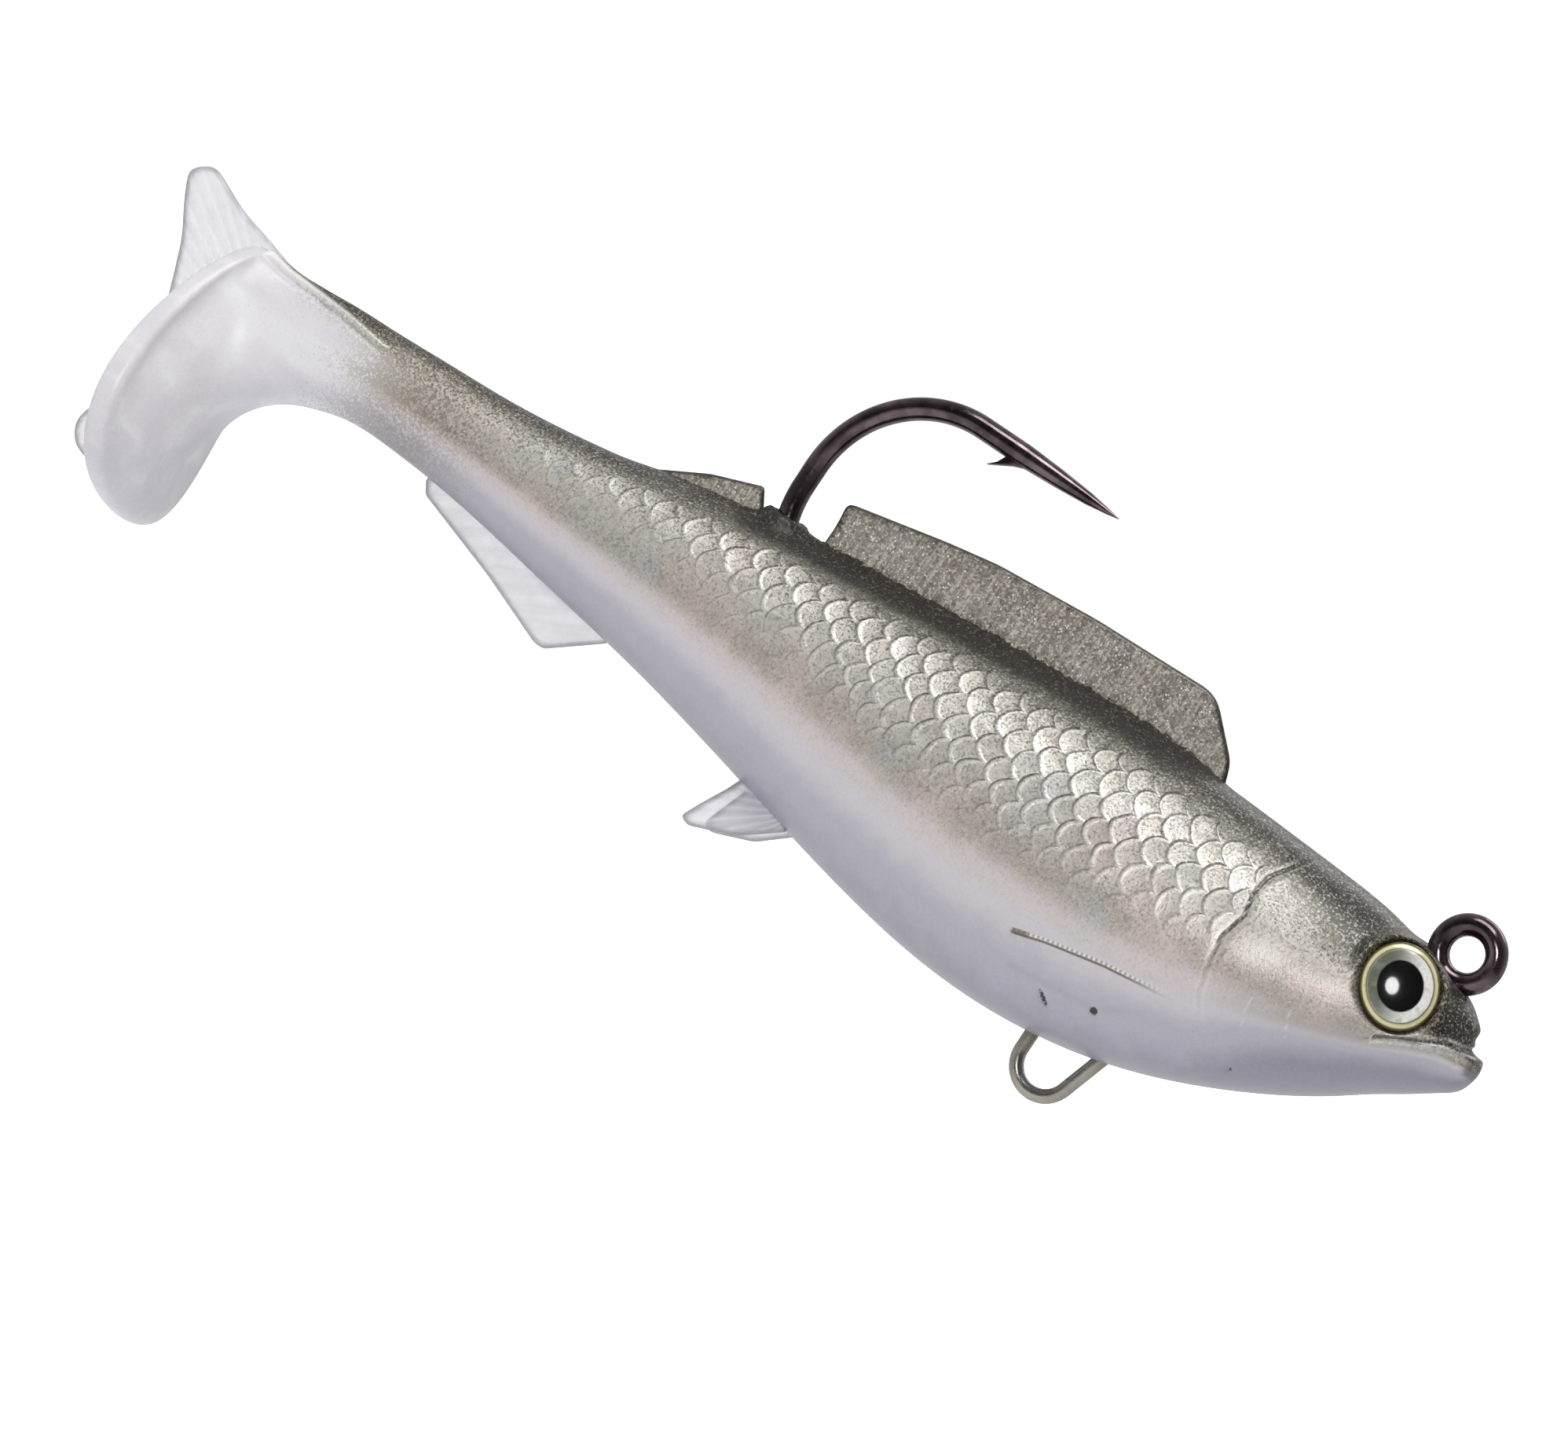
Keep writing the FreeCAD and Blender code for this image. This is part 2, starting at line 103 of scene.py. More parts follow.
def smooth_curve(knots, values, at):
    """A natural cubic through the values at the knots."""
    gaps = np.diff(knots)
    count = len(knots)
    system = np.eye(count)
    right = np.zeros(count)
    for k in range(1, count - 1):
        system[k, k - 1:k + 2] = gaps[k - 1], 2 * (gaps[k - 1] + gaps[k]), gaps[k]
        right[k] = 6 * ((values[k + 1] - values[k]) / gaps[k]
                        - (values[k] - values[k - 1]) / gaps[k - 1])
    curl = np.linalg.solve(system, right)
    k = np.clip(np.searchsorted(knots, at) - 1, 0, count - 2)
    low, high, gap = at - knots[k], knots[k + 1] - at, gaps[k]
    return (curl[k] * high**3 + curl[k + 1] * low**3) / (6 * gap) \
        + (values[k] / gap - curl[k] * gap / 6) * high \
        + (values[k + 1] / gap - curl[k + 1] * gap / 6) * low


def step(low, high, value):
    """0 at low and before it, 1 at high and past it, smooth between; low may be the larger."""
    t = np.clip((value - low) / (high - low), 0, 1)
    return t * t * (3 - 2 * t)


def ridge(distance, width):
    """1 on a line, falling off to either side."""
    return np.exp(-(distance / width) ** 2)


def to_line(x, z, points):
    """Distance from each (x, z) to a bent line, and how far along it that is."""
    best = np.full(x.shape, 1e9)
    place = np.zeros(x.shape)
    run = 0.0
    for (ax, az), (bx, bz) in zip(points, points[1:]):
        length = math.hypot(bx - ax, bz - az)
        t = np.clip(((x - ax) * (bx - ax) + (z - az) * (bz - az)) / length**2, 0, 1)
        away = np.hypot(x - ax - t * (bx - ax), z - az - t * (bz - az))
        nearer = away < best
        best = np.where(nearer, away, best)
        place = np.where(nearer, run + t * length, place)
        run += length
    return best, place


def fish_ovals():
    """The casting's form before the mould's detail: rows of points round it, in millimetres."""
    top = np.array([o[0] for o in OVALS])
    bottom = np.array([o[1] for o in OVALS])
    rest = np.array([o[2:] for o in OVALS])
    strides = (np.linalg.norm(np.diff(top, axis=0), axis=1)
               + np.linalg.norm(np.diff(bottom, axis=0), axis=1)
               + np.hypot(np.diff((top + bottom)[:, 0] / 2), np.diff(rest[:, 0]))) / 3
    knots = np.concatenate([[0], np.cumsum(strides)])
    middle_x = (top + bottom)[:, 0] / 2
    at_x = lambda x: np.interp(-x, -middle_x[:20], knots[:20])
    rows = np.concatenate([
        at_x(5.1) + (at_x(2.0) - at_x(5.1)) * np.linspace(0, 1, 22)[:-1] ** 1.5,
        np.arange(at_x(2.0), at_x(-12.0), 0.27),
        np.arange(at_x(-12.0), at_x(SEAM_X) - 0.1, 0.245),
        np.linspace(at_x(SEAM_X), knots[-1], TAIL_ROWS),
    ])
    seam_row = len(rows) - TAIL_ROWS
    u = np.arange(AROUND) * 2 * math.pi / AROUND
    angle = u + 0.13 * np.sin(2 * u)
    track = lambda values: smooth_curve(knots, values, rows)[:, None]
    tx, tz = track(top[:, 0]), track(top[:, 1])
    bx, bz = track(bottom[:, 0]), track(bottom[:, 1])
    wide, pear, sweep = (track(rest[:, k]) for k in range(3))
    rise, across = np.cos(angle)[None, :], np.sin(angle)[None, :]
    x = (tx + bx) / 2 + rise * (tx - bx) / 2 - sweep * across**2
    z = (tz + bz) / 2 + rise * (tz - bz) / 2
    y = -np.maximum(wide, 0) * across * (1 - pear * rise)
    share = np.repeat((1 - rise) / 2, len(rows), axis=0)      # 0 at the back, 1 at the belly
    return np.stack([x, y, z], -1), seam_row, share


form, seam_row, share = fish_ovals()


def outward(points):
    """Unit normals of a closed row-and-round grid."""
    along = np.gradient(points, axis=0)
    round_it = np.roll(points, -1, axis=1) - np.roll(points, 1, axis=1)
    normal = np.cross(along, round_it)
    return normal / np.maximum(np.linalg.norm(normal, axis=-1, keepdims=True), 1e-9)


# lips: the upper one stops short of the lower one, with a notch between
lip_x, lip_z = form[..., 0].copy(), form[..., 2].copy()
form[..., 0] -= 0.8 * step(-5.4, -5.0, lip_z) * step(-3.5, -4.6, lip_z) * step(2.0, 4.2, lip_x)
form[..., 0] -= 0.35 * ridge(lip_z + 5.1, 0.28) * step(2.4, 4.2, lip_x)

normals = outward(form)
x, y, z = form[..., 0], form[..., 1], form[..., 2]
hops = np.linalg.norm(np.diff(form, axis=1), axis=-1)
girth = np.concatenate([np.zeros((len(form), 1)), np.cumsum(hops, axis=1)], axis=1)
full_girth = girth[:, -1:] + np.linalg.norm(form[:, :1] - form[:, -1:], axis=-1)
drop = np.minimum(girth, full_girth - girth)      # down the skin from the middle of the back

# scales: overlapping discs in staggered rows, free edges towards the tail. The mesh holds their
# swell and the material cuts their fine edges, from the same three sizes.
SCALE_LONG, SCALE_TALL, SCALE_REACH = 2.75, 2.35, 1.55
scale_top = np.interp(-x, [12, 30, 50, 65, 84], [4.3, 3.7, 3.2, 2.6, 2.0])
scale_low = np.interp(-x, [12, 20, 30, 42, 50, 65, 84], [13.0, 15.5, 16.5, 15.0, 12.6, 9.4, 6.2])


def scale_swell(run, fall):
    """How far across the uppermost scale each point is, 0 at its middle and 1 at its edge."""
    owner = np.full(run.shape, 1e9)
    reach = np.zeros(run.shape)
    for shift in (0.0, 0.5):
        col = np.floor(run / SCALE_LONG - shift)
        cz = (np.round(fall / SCALE_TALL - shift) + shift) * SCALE_TALL
        for ahead in (0, 1):
            cx = (col + ahead + shift) * SCALE_LONG
            away = np.hypot((run - cx) * 0.92, (fall - cz) * 1.08)
            over = (away < SCALE_REACH) & (cx < owner)
            owner = np.where(over, cx, owner)
            reach = np.where(over, away / SCALE_REACH, reach)
    return reach * step(-0.6, 0.3, (run - owner) / SCALE_REACH)


scale_zone = step(0, 1.4, drop - scale_top) * step(0, 5.5, scale_low - drop) \
    * step(12.7, 14.0, -x) * step(-84, -72, x)
scale_show = scale_zone * np.interp(-x, [12, 55, 84], [1.0, 0.9, 0.35])
relief = 0.08 * scale_show * scale_swell(-x, drop) ** 3

# gill cover: its rear edge stands over the shoulder
GILL = [(-11.9, -0.4), (-12.3, -1.6), (-13.0, -3.0), (-13.0, -4.4), (-12.5, -5.9), (-12.9, -7.8),
        (-12.6, -9.6), (-12.1, -11.8), (-10.8, -14.2)]
gill_away, _ = to_line(x, z, GILL)
gill_x = np.interp(-z, [-p[1] for p in GILL], [p[0] for p in GILL])
gill_show = step(0.4, 1.8, -z) * step(14.4, 9.5, -z)
relief += gill_show * (0.13 * step(0.0, 0.5, x - gill_x) * step(4.5, 1.0, x - gill_x)
                       - 0.08 * ridge(gill_away, 0.18))

# mouth corner line under the eye
MOUTH = [(-1.6, -8.2), (-1.2, -7.75), (0.9, -6.55), (2.9, -5.45), (4.4, -5.1)]
mouth_away, _ = to_line(x, z, MOUTH)
mouth_show = step(-1.9, -1.3, x)
relief -= 0.13 * ridge(mouth_away, 0.16) * mouth_show
relief += 0.06 * ridge(mouth_away - 0.4, 0.22) * mouth_show

# two faint folds on the cheek, and how far each point is below the mouth's line
fold_away = np.minimum(to_line(x, z, [(-9.0, -10.0), (-8.9, -11.2), (-8.5, -12.4)])[0],
                       to_line(x, z, [(-6.5, -8.9), (-6.3, -9.9), (-5.9, -11.0)])[0])
relief += 0.04 * ridge(fold_away, 0.2)
jaw_top = np.interp(x, [-16, -7, -1.6, 0.9, 2.9, 4.4], [-13.2, -10.2, -8.2, -6.55, -5.45, -5.1])
jaw = step(-0.2, 1.5, jaw_top - z)

# pectoral fin: laid flat on the flank, with a beaded leading ray
PECTORAL = [(-25.2, -15.6), (-22.5, -14.8), (-18.5, -13.9), (-13.6, -13.2)]
ray_away, ray_run = to_line(x, z, PECTORAL)
beads = 0.5 + 0.5 * np.cos(ray_run * 2 * math.pi / 0.62)
blade_top = np.interp(-x, [13.6, 18.5, 22.5, 25.2], [-13.2, -13.9, -14.8, -15.6])
blade_low = np.interp(-x, [13.6, 18.0, 24.6, 25.2], [-15.0, -17.2, -18.0, -15.8])
on_blade = step(0.0, 0.25, blade_top - z) * step(0.0, 0.9, z - blade_low) \
    * step(-25.4, -24.6, x) * step(-13.4, -15.2, x)
fan = np.arctan2(z + 13.6, -x - 11.5)
pectoral_rays = 0.5 + 0.5 * np.cos(fan * 95)
relief += on_blade * (0.08 + 0.03 * pectoral_rays)
relief += ridge(ray_away, 0.14) * (0.09 + 0.07 * beads)
ray_above = ray_away * np.sign(z - blade_top)
pectoral_low = ridge(z - blade_low - 0.35, 0.3) * step(-25, -24, x) * step(-14, -17, x)

# the flesh stands up round the hook where it comes out, and is rough by the dorsal fin's root
hook_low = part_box("hook")[0] / MM
EXIT_X = hook_low.x + 1.3
out_of_back = np.hypot((x - EXIT_X) / 1.25, y)
relief += 0.85 * ridge(out_of_back - 0.9, 0.75) * step(-9, -3, z)
on_back = step(-8, -3, z)
relief += 0.5 * ridge(y, 1.15) * step(-56.5, -53.5, x) * step(-19.5, -24, x) * on_back
relief += 0.3 * ridge(y, 1.0) * step(-71, -66, x) * step(-56, -58, x) * on_back
rng = np.random.default_rng(7)
grit = rng.random(x.shape)
grit = (grit + np.roll(grit, 1, 0) + np.roll(grit, 1, 1) + np.roll(grit, -1, 1)) / 4 - 0.5
root_show = step(-62, -58, x) * step(-19, -25, x) * on_back
root_band = ridge(np.abs(y) - 0.75, 0.85) * root_show
relief += 0.62 * root_band * grit

# crease between the wrist's flank and the dark strip along its top
CREASE = [(-89.6, -8.0), (-93.8, -7.65), (-99.6, -7.5), (-101.8, -7.2)]
crease_away, _ = to_line(x, z, CREASE)
crease_show = step(-103.0, -101.5, x) * step(-88.6, -91.0, x)
crease_line = ridge(crease_away, 0.2) * crease_show
strip = step(-0.1, 0.25, z - np.interp(-x, [88, 93.8, 99.6, 101.8], [-8.1, -7.65, -7.5, -7.2]))
strip = strip * step(-102.6, -101.6, x) * step(-88, -90.5, x)
relief += 0.16 * crease_line - 0.12 * ridge(crease_away - 0.42, 0.2) * crease_show

form += normals * relief[..., None]

# eye seats: a flat pocket with a low collar of flesh, facing the way the eye does
EYE_TILT = (math.radians(14), math.radians(10))     # forward and up
EYE_R, EYE_SLIM, EYE_LEAN = 2.98, 0.9, math.radians(33)   # long radius, short share, lean back
eye_mark = np.zeros(x.shape)
eye_places = {}
for side, sign in (("left", 1), ("right", -1)):
    low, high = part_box("eye_disc_" + side)
    centre = np.array((low + high) / 2) / MM
    facing = np.array([math.sin(EYE_TILT[0]) * math.cos(EYE_TILT[1]),
                       sign * math.cos(EYE_TILT[0]) * math.cos(EYE_TILT[1]), math.sin(EYE_TILT[1])])
    short = np.array([math.cos(EYE_LEAN), 0, math.sin(EYE_LEAN)])
    short -= facing * (short @ facing)
    short /= np.linalg.norm(short)
    tall = np.cross(facing, short)
    eye_places[side] = (centre, facing, short, tall)
    offset = form - centre
    height = offset @ facing
    away = np.hypot(offset @ short / EYE_SLIM, offset @ tall)
    same_side = np.sign(y) == sign
    pocket = same_side * step(EYE_R + 0.3, EYE_R + 0.02, away)
    form += facing * (pocket * np.minimum(-0.3 - height, 0))[..., None]
    fill = same_side * ridge(away - EYE_R - 0.42, 0.4) * (away > EYE_R + 0.02)
    form += facing * (fill * np.clip(0.40 - height, 0, 1.2))[..., None]
    brow = same_side * ridge(away - EYE_R - 0.75, 0.35) * step(0.3, 1.0, offset @ tall / away)
    form += facing * (0.14 * brow)[..., None]
    eye_mark = np.maximum(eye_mark, same_side * ridge(away - EYE_R - 0.22, 0.34))


def linear(red, green, blue):
    """A paint-chart colour, 0 to 255 a channel, as the scene-linear one that the nodes take."""
    return tuple((c / 255 / 12.92 if c < 10 else ((c / 255 + 0.055) / 1.055) ** 2.4)
                 for c in (red, green, blue)) + (1.0,)


def clear_selection():
    """Leaves nothing selected, so an operator acts on the new primitive alone."""
    if bpy.context.object and bpy.context.object.mode != "OBJECT":
        bpy.ops.object.mode_set(mode="OBJECT")
    bpy.ops.object.select_all(action="DESELECT")


def draped_grid(name, points):
    """A grid primitive laid over rows of points in millimetres: first axis along, second round."""
    along, round_it = points.shape[:2]
    clear_selection()
    bpy.ops.mesh.primitive_grid_add(x_subdivisions=along - 1, y_subdivisions=round_it - 1, size=0.1)
    piece = bpy.context.object
    piece.name = name
    laid = points.transpose(1, 0, 2).reshape(-1, 3) * MM
    piece.data.vertices.foreach_set("co", laid.astype(np.float32).ravel())
    piece.data.update()
    return piece


def note(piece, name, values):
    """Stores a value, or a place, for each of the grid's points, for its material to read."""
    values = np.swapaxes(values, 0, 1).astype(np.float32)
    kind, key = ("FLOAT_VECTOR", "vector") if values.ndim == 3 else ("FLOAT", "value")
    piece.data.attributes.new(name, kind, "POINT").data.foreach_set(key, values.ravel())


def face_outward():
    """Turns every face of the piece in edit mode outward, and leaves edit mode."""
    bpy.ops.mesh.select_all(action="SELECT")
    bpy.ops.mesh.normals_make_consistent(inside=False)
    bpy.ops.object.mode_set(mode="OBJECT")


def weld(piece):
    """Joins the points that lie on each other: the seam of a tube and the ring of a pole."""
    clear_selection()
    bpy.context.view_layer.objects.active = piece
    piece.select_set(True)
    bpy.ops.object.mode_set(mode="EDIT")
    bpy.ops.mesh.select_all(action="SELECT")
    bpy.ops.mesh.remove_doubles(threshold=1e-7)
    bpy.ops.object.mode_set(mode="OBJECT")
    bpy.ops.object.shade_smooth()


# a pin hole, a slit and a fleck under the throat, on the right side alone
slit_x, slit_z = x + 21.2, z + 18.3
slit = np.hypot(slit_x * 0.67 + slit_z * 0.74, (slit_z * 0.67 - slit_x * 0.74) * 0.25) - 0.16
pits = np.minimum(np.hypot(x + 17.7, z + 17.0) - 0.27, np.hypot(x + 8.1, z + 15.1) - 0.13)
pits = np.minimum(pits, slit) + 9 * (y > 0)
form -= normals * (0.2 * step(0.15, -0.1, pits))[..., None]
rest = np.stack([x, y, z], -1)
marks = {"share": share, "drop": drop, "scaled": scale_show, "run": -x, "gill": gill_away,
         "cheek": gill_show, "mouth": mouth_away + 9 * (1 - mouth_show), "jaw": jaw, "fold": fold_away,
         "ray_above": ray_above, "ray_run": ray_run, "blade": pectoral_low, "groove": eye_mark,
         "crease": crease_line, "strip": strip, "rough": root_show * step(4.4, 1.2, np.abs(y)),
         "pit": pits, "rest": rest}
form[0] = form[0].mean(axis=0)
form[-1] = form[-1].mean(axis=0)


def skin(name, rows):
    """One length of the casting, its top seam joined."""
    closed = np.concatenate([form[rows], form[rows, :1]], axis=1)
    piece = draped_grid(name, closed)
    for mark, values in marks.items():
        note(piece, mark, np.concatenate([values[rows], values[rows, :1]], axis=1))
    weld(piece)
    return piece


front_skin = skin("front_skin", slice(0, seam_row + 1))
rear_skin = skin("rear_skin", slice(seam_row, len(form)))


def shader(name):
    """A new material, its node tree and its Principled shader."""
    made = bpy.data.materials.new(name)
    made.use_nodes = True
    return made, made.node_tree, made.node_tree.nodes["Principled BSDF"]


def feed(tree, socket, source):
    """Links an input to a value or an output, or sets it to a number, a vector or a colour."""
    source = source.socket if isinstance(source, Value) else source
    if isinstance(source, bpy.types.NodeSocket):
        tree.links.new(source, socket)
    else:
        socket.default_value = source


def finish(tree, node, inputs):
    """Feeds a node's inputs by name or number."""
    for socket, source in dict(inputs).items():
        feed(tree, node.inputs[socket], source)


def put(tree, kind, inputs=(), **settings):
    """Adds a node, makes its settings and feeds its inputs."""
    made = tree.nodes.new(kind)
    for key, value in settings.items():
        setattr(made, key, value)
    finish(tree, made, inputs)
    return made


class Value:
    """A number that nodes work out. A sum on it becomes a math node."""

    def __init__(self, tree, socket):
        self.tree = tree
        self.socket = socket

    def __add__(self, other):
        return maths(self.tree, "ADD", self, other)

    def __sub__(self, other):
        return maths(self.tree, "SUBTRACT", self, other)

    def __rsub__(self, other):
        return maths(self.tree, "SUBTRACT", other, self)

    def __mul__(self, other):
        return maths(self.tree, "MULTIPLY", self, other)

    def step(self, low, high, out_low=0.0, out_high=1.0):
        """Moves it smoothly from one range to another, and stops at the ends."""
        made = put(self.tree, "ShaderNodeMapRange", interpolation_type="SMOOTHSTEP",
                   inputs={0: self, 1: low, 2: high, 3: out_low, 4: out_high})
        return Value(self.tree, made.outputs[0])


def maths(tree, operation, *inputs, clamp=False):
    """One sum on values."""
    made = put(tree, "ShaderNodeMath", enumerate(inputs), operation=operation, use_clamp=clamp)
    return Value(tree, made.outputs[0])


def values_of(tree, node):
    """A node's outputs as values."""
    return [Value(tree, socket) for socket in node.outputs]


def mark_of(tree, name):
    """The value that the mesh holds under that name."""
    return Value(tree, put(tree, "ShaderNodeAttribute", attribute_name=name).outputs["Fac"])


def rest_of(tree):
    """Where each point lay before the mould's detail, in millimetres."""
    return put(tree, "ShaderNodeAttribute", attribute_name="rest").outputs["Vector"]


def object_place(tree):
    """Where each point is on the object, in metres."""
    return put(tree, "ShaderNodeTexCoord").outputs["Object"]


def noise(tree, place, scale, detail, **more):
    """A cloudy value from 0 to 1."""
    made = put(tree, "ShaderNodeTexNoise", {"Vector": place, "Scale": scale, "Detail": detail, **more})
    return Value(tree, made.outputs[0])


def bumps(tree, height, strength, distance):
    """The normal of a surface that stands up by that height."""
    return put(tree, "ShaderNodeBump",
               {"Height": height, "Strength": strength, "Distance": distance}).outputs[0]


def blend_colour(tree, amount, first, second):
    """Mixes two colours by an amount. Each is an output or a paint-chart colour."""
    mix = put(tree, "ShaderNodeMix", data_type="RGBA", clamp_factor=True)
    for socket, source in ((0, amount), (6, first), (7, second)):
        feed(tree, mix.inputs[socket], linear(*source) if isinstance(source, tuple) else source)
    return mix.outputs[2]


def layered(tree, colour, coats):
    """A colour under coats of others: each coat is an amount and a colour."""
    for amount, coat in coats:
        colour = blend_colour(tree, amount, colour, coat)
    return colour


def ramp(tree, value, stops, smooth="EASE"):
    """A colour ramp from (place, paint-chart colour) stops."""
    made = put(tree, "ShaderNodeValToRGB", {0: value})
    made.color_ramp.interpolation = smooth
    while len(made.color_ramp.elements) < len(stops):
        made.color_ramp.elements.new(0.5)
    for element, (place, colour) in zip(made.color_ramp.elements, stops):
        element.position = place
        element.color = linear(*colour)
    return made.outputs[0]


def open_group(name, kind, given, results):
    """A new node group with inputs of that kind and value outputs."""
    group = bpy.data.node_groups.new(name, "ShaderNodeTree")
    for socket in given:
        group.interface.new_socket(socket, in_out="INPUT", socket_type=kind)
    for socket in results:
        group.interface.new_socket(socket, in_out="OUTPUT", socket_type="NodeSocketFloat")
    return group, group.nodes.new("NodeGroupInput").outputs


def close_group(group, results):
    """Feeds a node group's outputs."""
    finish(group, group.nodes.new("NodeGroupOutput"), enumerate(results))
    return group


def flake_group():
    """Ground metal flake in the plastic: sparks, dark specks, a sandy grain and a cloudy drift."""
    group, given = open_group("metal flake", "NodeSocketVector", ["Place"],
                              ["Spark", "Speck", "Sand", "Cloud"])
    place = given[0]
    cells = put(group, "ShaderNodeTexVoronoi", {"Vector": place, "Scale": 6.2})
    near = Value(group, cells.outputs["Distance"]).step(0.55, 0.3)
    pick = values_of(group, put(group, "ShaderNodeSeparateColor", {0: cells.outputs["Color"]}))
    spark = pick[0].step(0.90, 0.98) * near
    speck = pick[1].step(0.86, 0.97) * near
    sand = pick[2] * 0.45 + noise(group, place, 5.5, 2.0, Roughness=0.7).step(0.25, 0.75, 0.0, 0.55)
    return close_group(group, [spark, speck, sand, noise(group, place, 0.5, 5.0, Roughness=0.65)])


def scale_group():
    """The scales' fine edges: a dark line, partly paint in the groove and partly painted shade, darkest on
    the upper part of each arc; the bright lip inside it, a painted highlight; and each scale's own number.
    """
    group, given = open_group("scale lace", "NodeSocketFloat", ["Run", "Fall"], ["Line", "Lip", "Own"])
    run, fall = (Value(group, socket) for socket in given[:2])
    along = maths(group, "DIVIDE", run, SCALE_LONG)
    down = maths(group, "DIVIDE", fall, SCALE_TALL)
    owner, reach, height = 1e6, 1.0, 0.0
    for shift in (0.0, 0.5):
        column = maths(group, "FLOOR", along - shift)
        lower = (down - shift - maths(group, "ROUND", down - shift)) * (SCALE_TALL * 1.08 / SCALE_REACH)
        for ahead in (0.0, 1.0):
            centre = (column + (shift + ahead)) * SCALE_LONG
            behind = (run - centre) * (0.92 / SCALE_REACH)
            away = maths(group, "SQRT", behind * behind + lower * lower)
            inside = maths(group, "LESS_THAN", away, 1.0) * maths(group, "LESS_THAN", centre, owner)
            outside = 1 - inside
            owner = inside * centre + outside * owner
            reach = inside * away + outside * reach
            height = inside * lower + outside * height
    rear = (run - owner).step(-0.45, 0.35)
    from_edge = (1 - reach) * SCALE_REACH
    # the groove's dark line, darkest on each scale's upper arc: paint and painted shade
    line = from_edge.step(0.21, 0.07) * rear * height.step(0.75, -0.2, 0.35, 1.0)
    # the lip just inside the line: a painted highlight
    lip = from_edge.step(0.12, 0.24) * from_edge.step(0.52, 0.26) * rear
    cell = put(group, "ShaderNodeCombineXYZ", {0: owner, 1: maths(group, "SNAP", down, 0.5)}).outputs[0]
    own = put(group, "ShaderNodeTexWhiteNoise", {"Vector": cell}, noise_dimensions="2D").outputs[0]
    return close_group(group, [line, lip, own])


FLAKE, SCALES = flake_group(), scale_group()


def flakes_at(tree, place):
    """The flake's sparks, specks, sand and cloud at each place."""
    return values_of(tree, put(tree, "ShaderNodeGroup", {0: place}, node_tree=FLAKE))


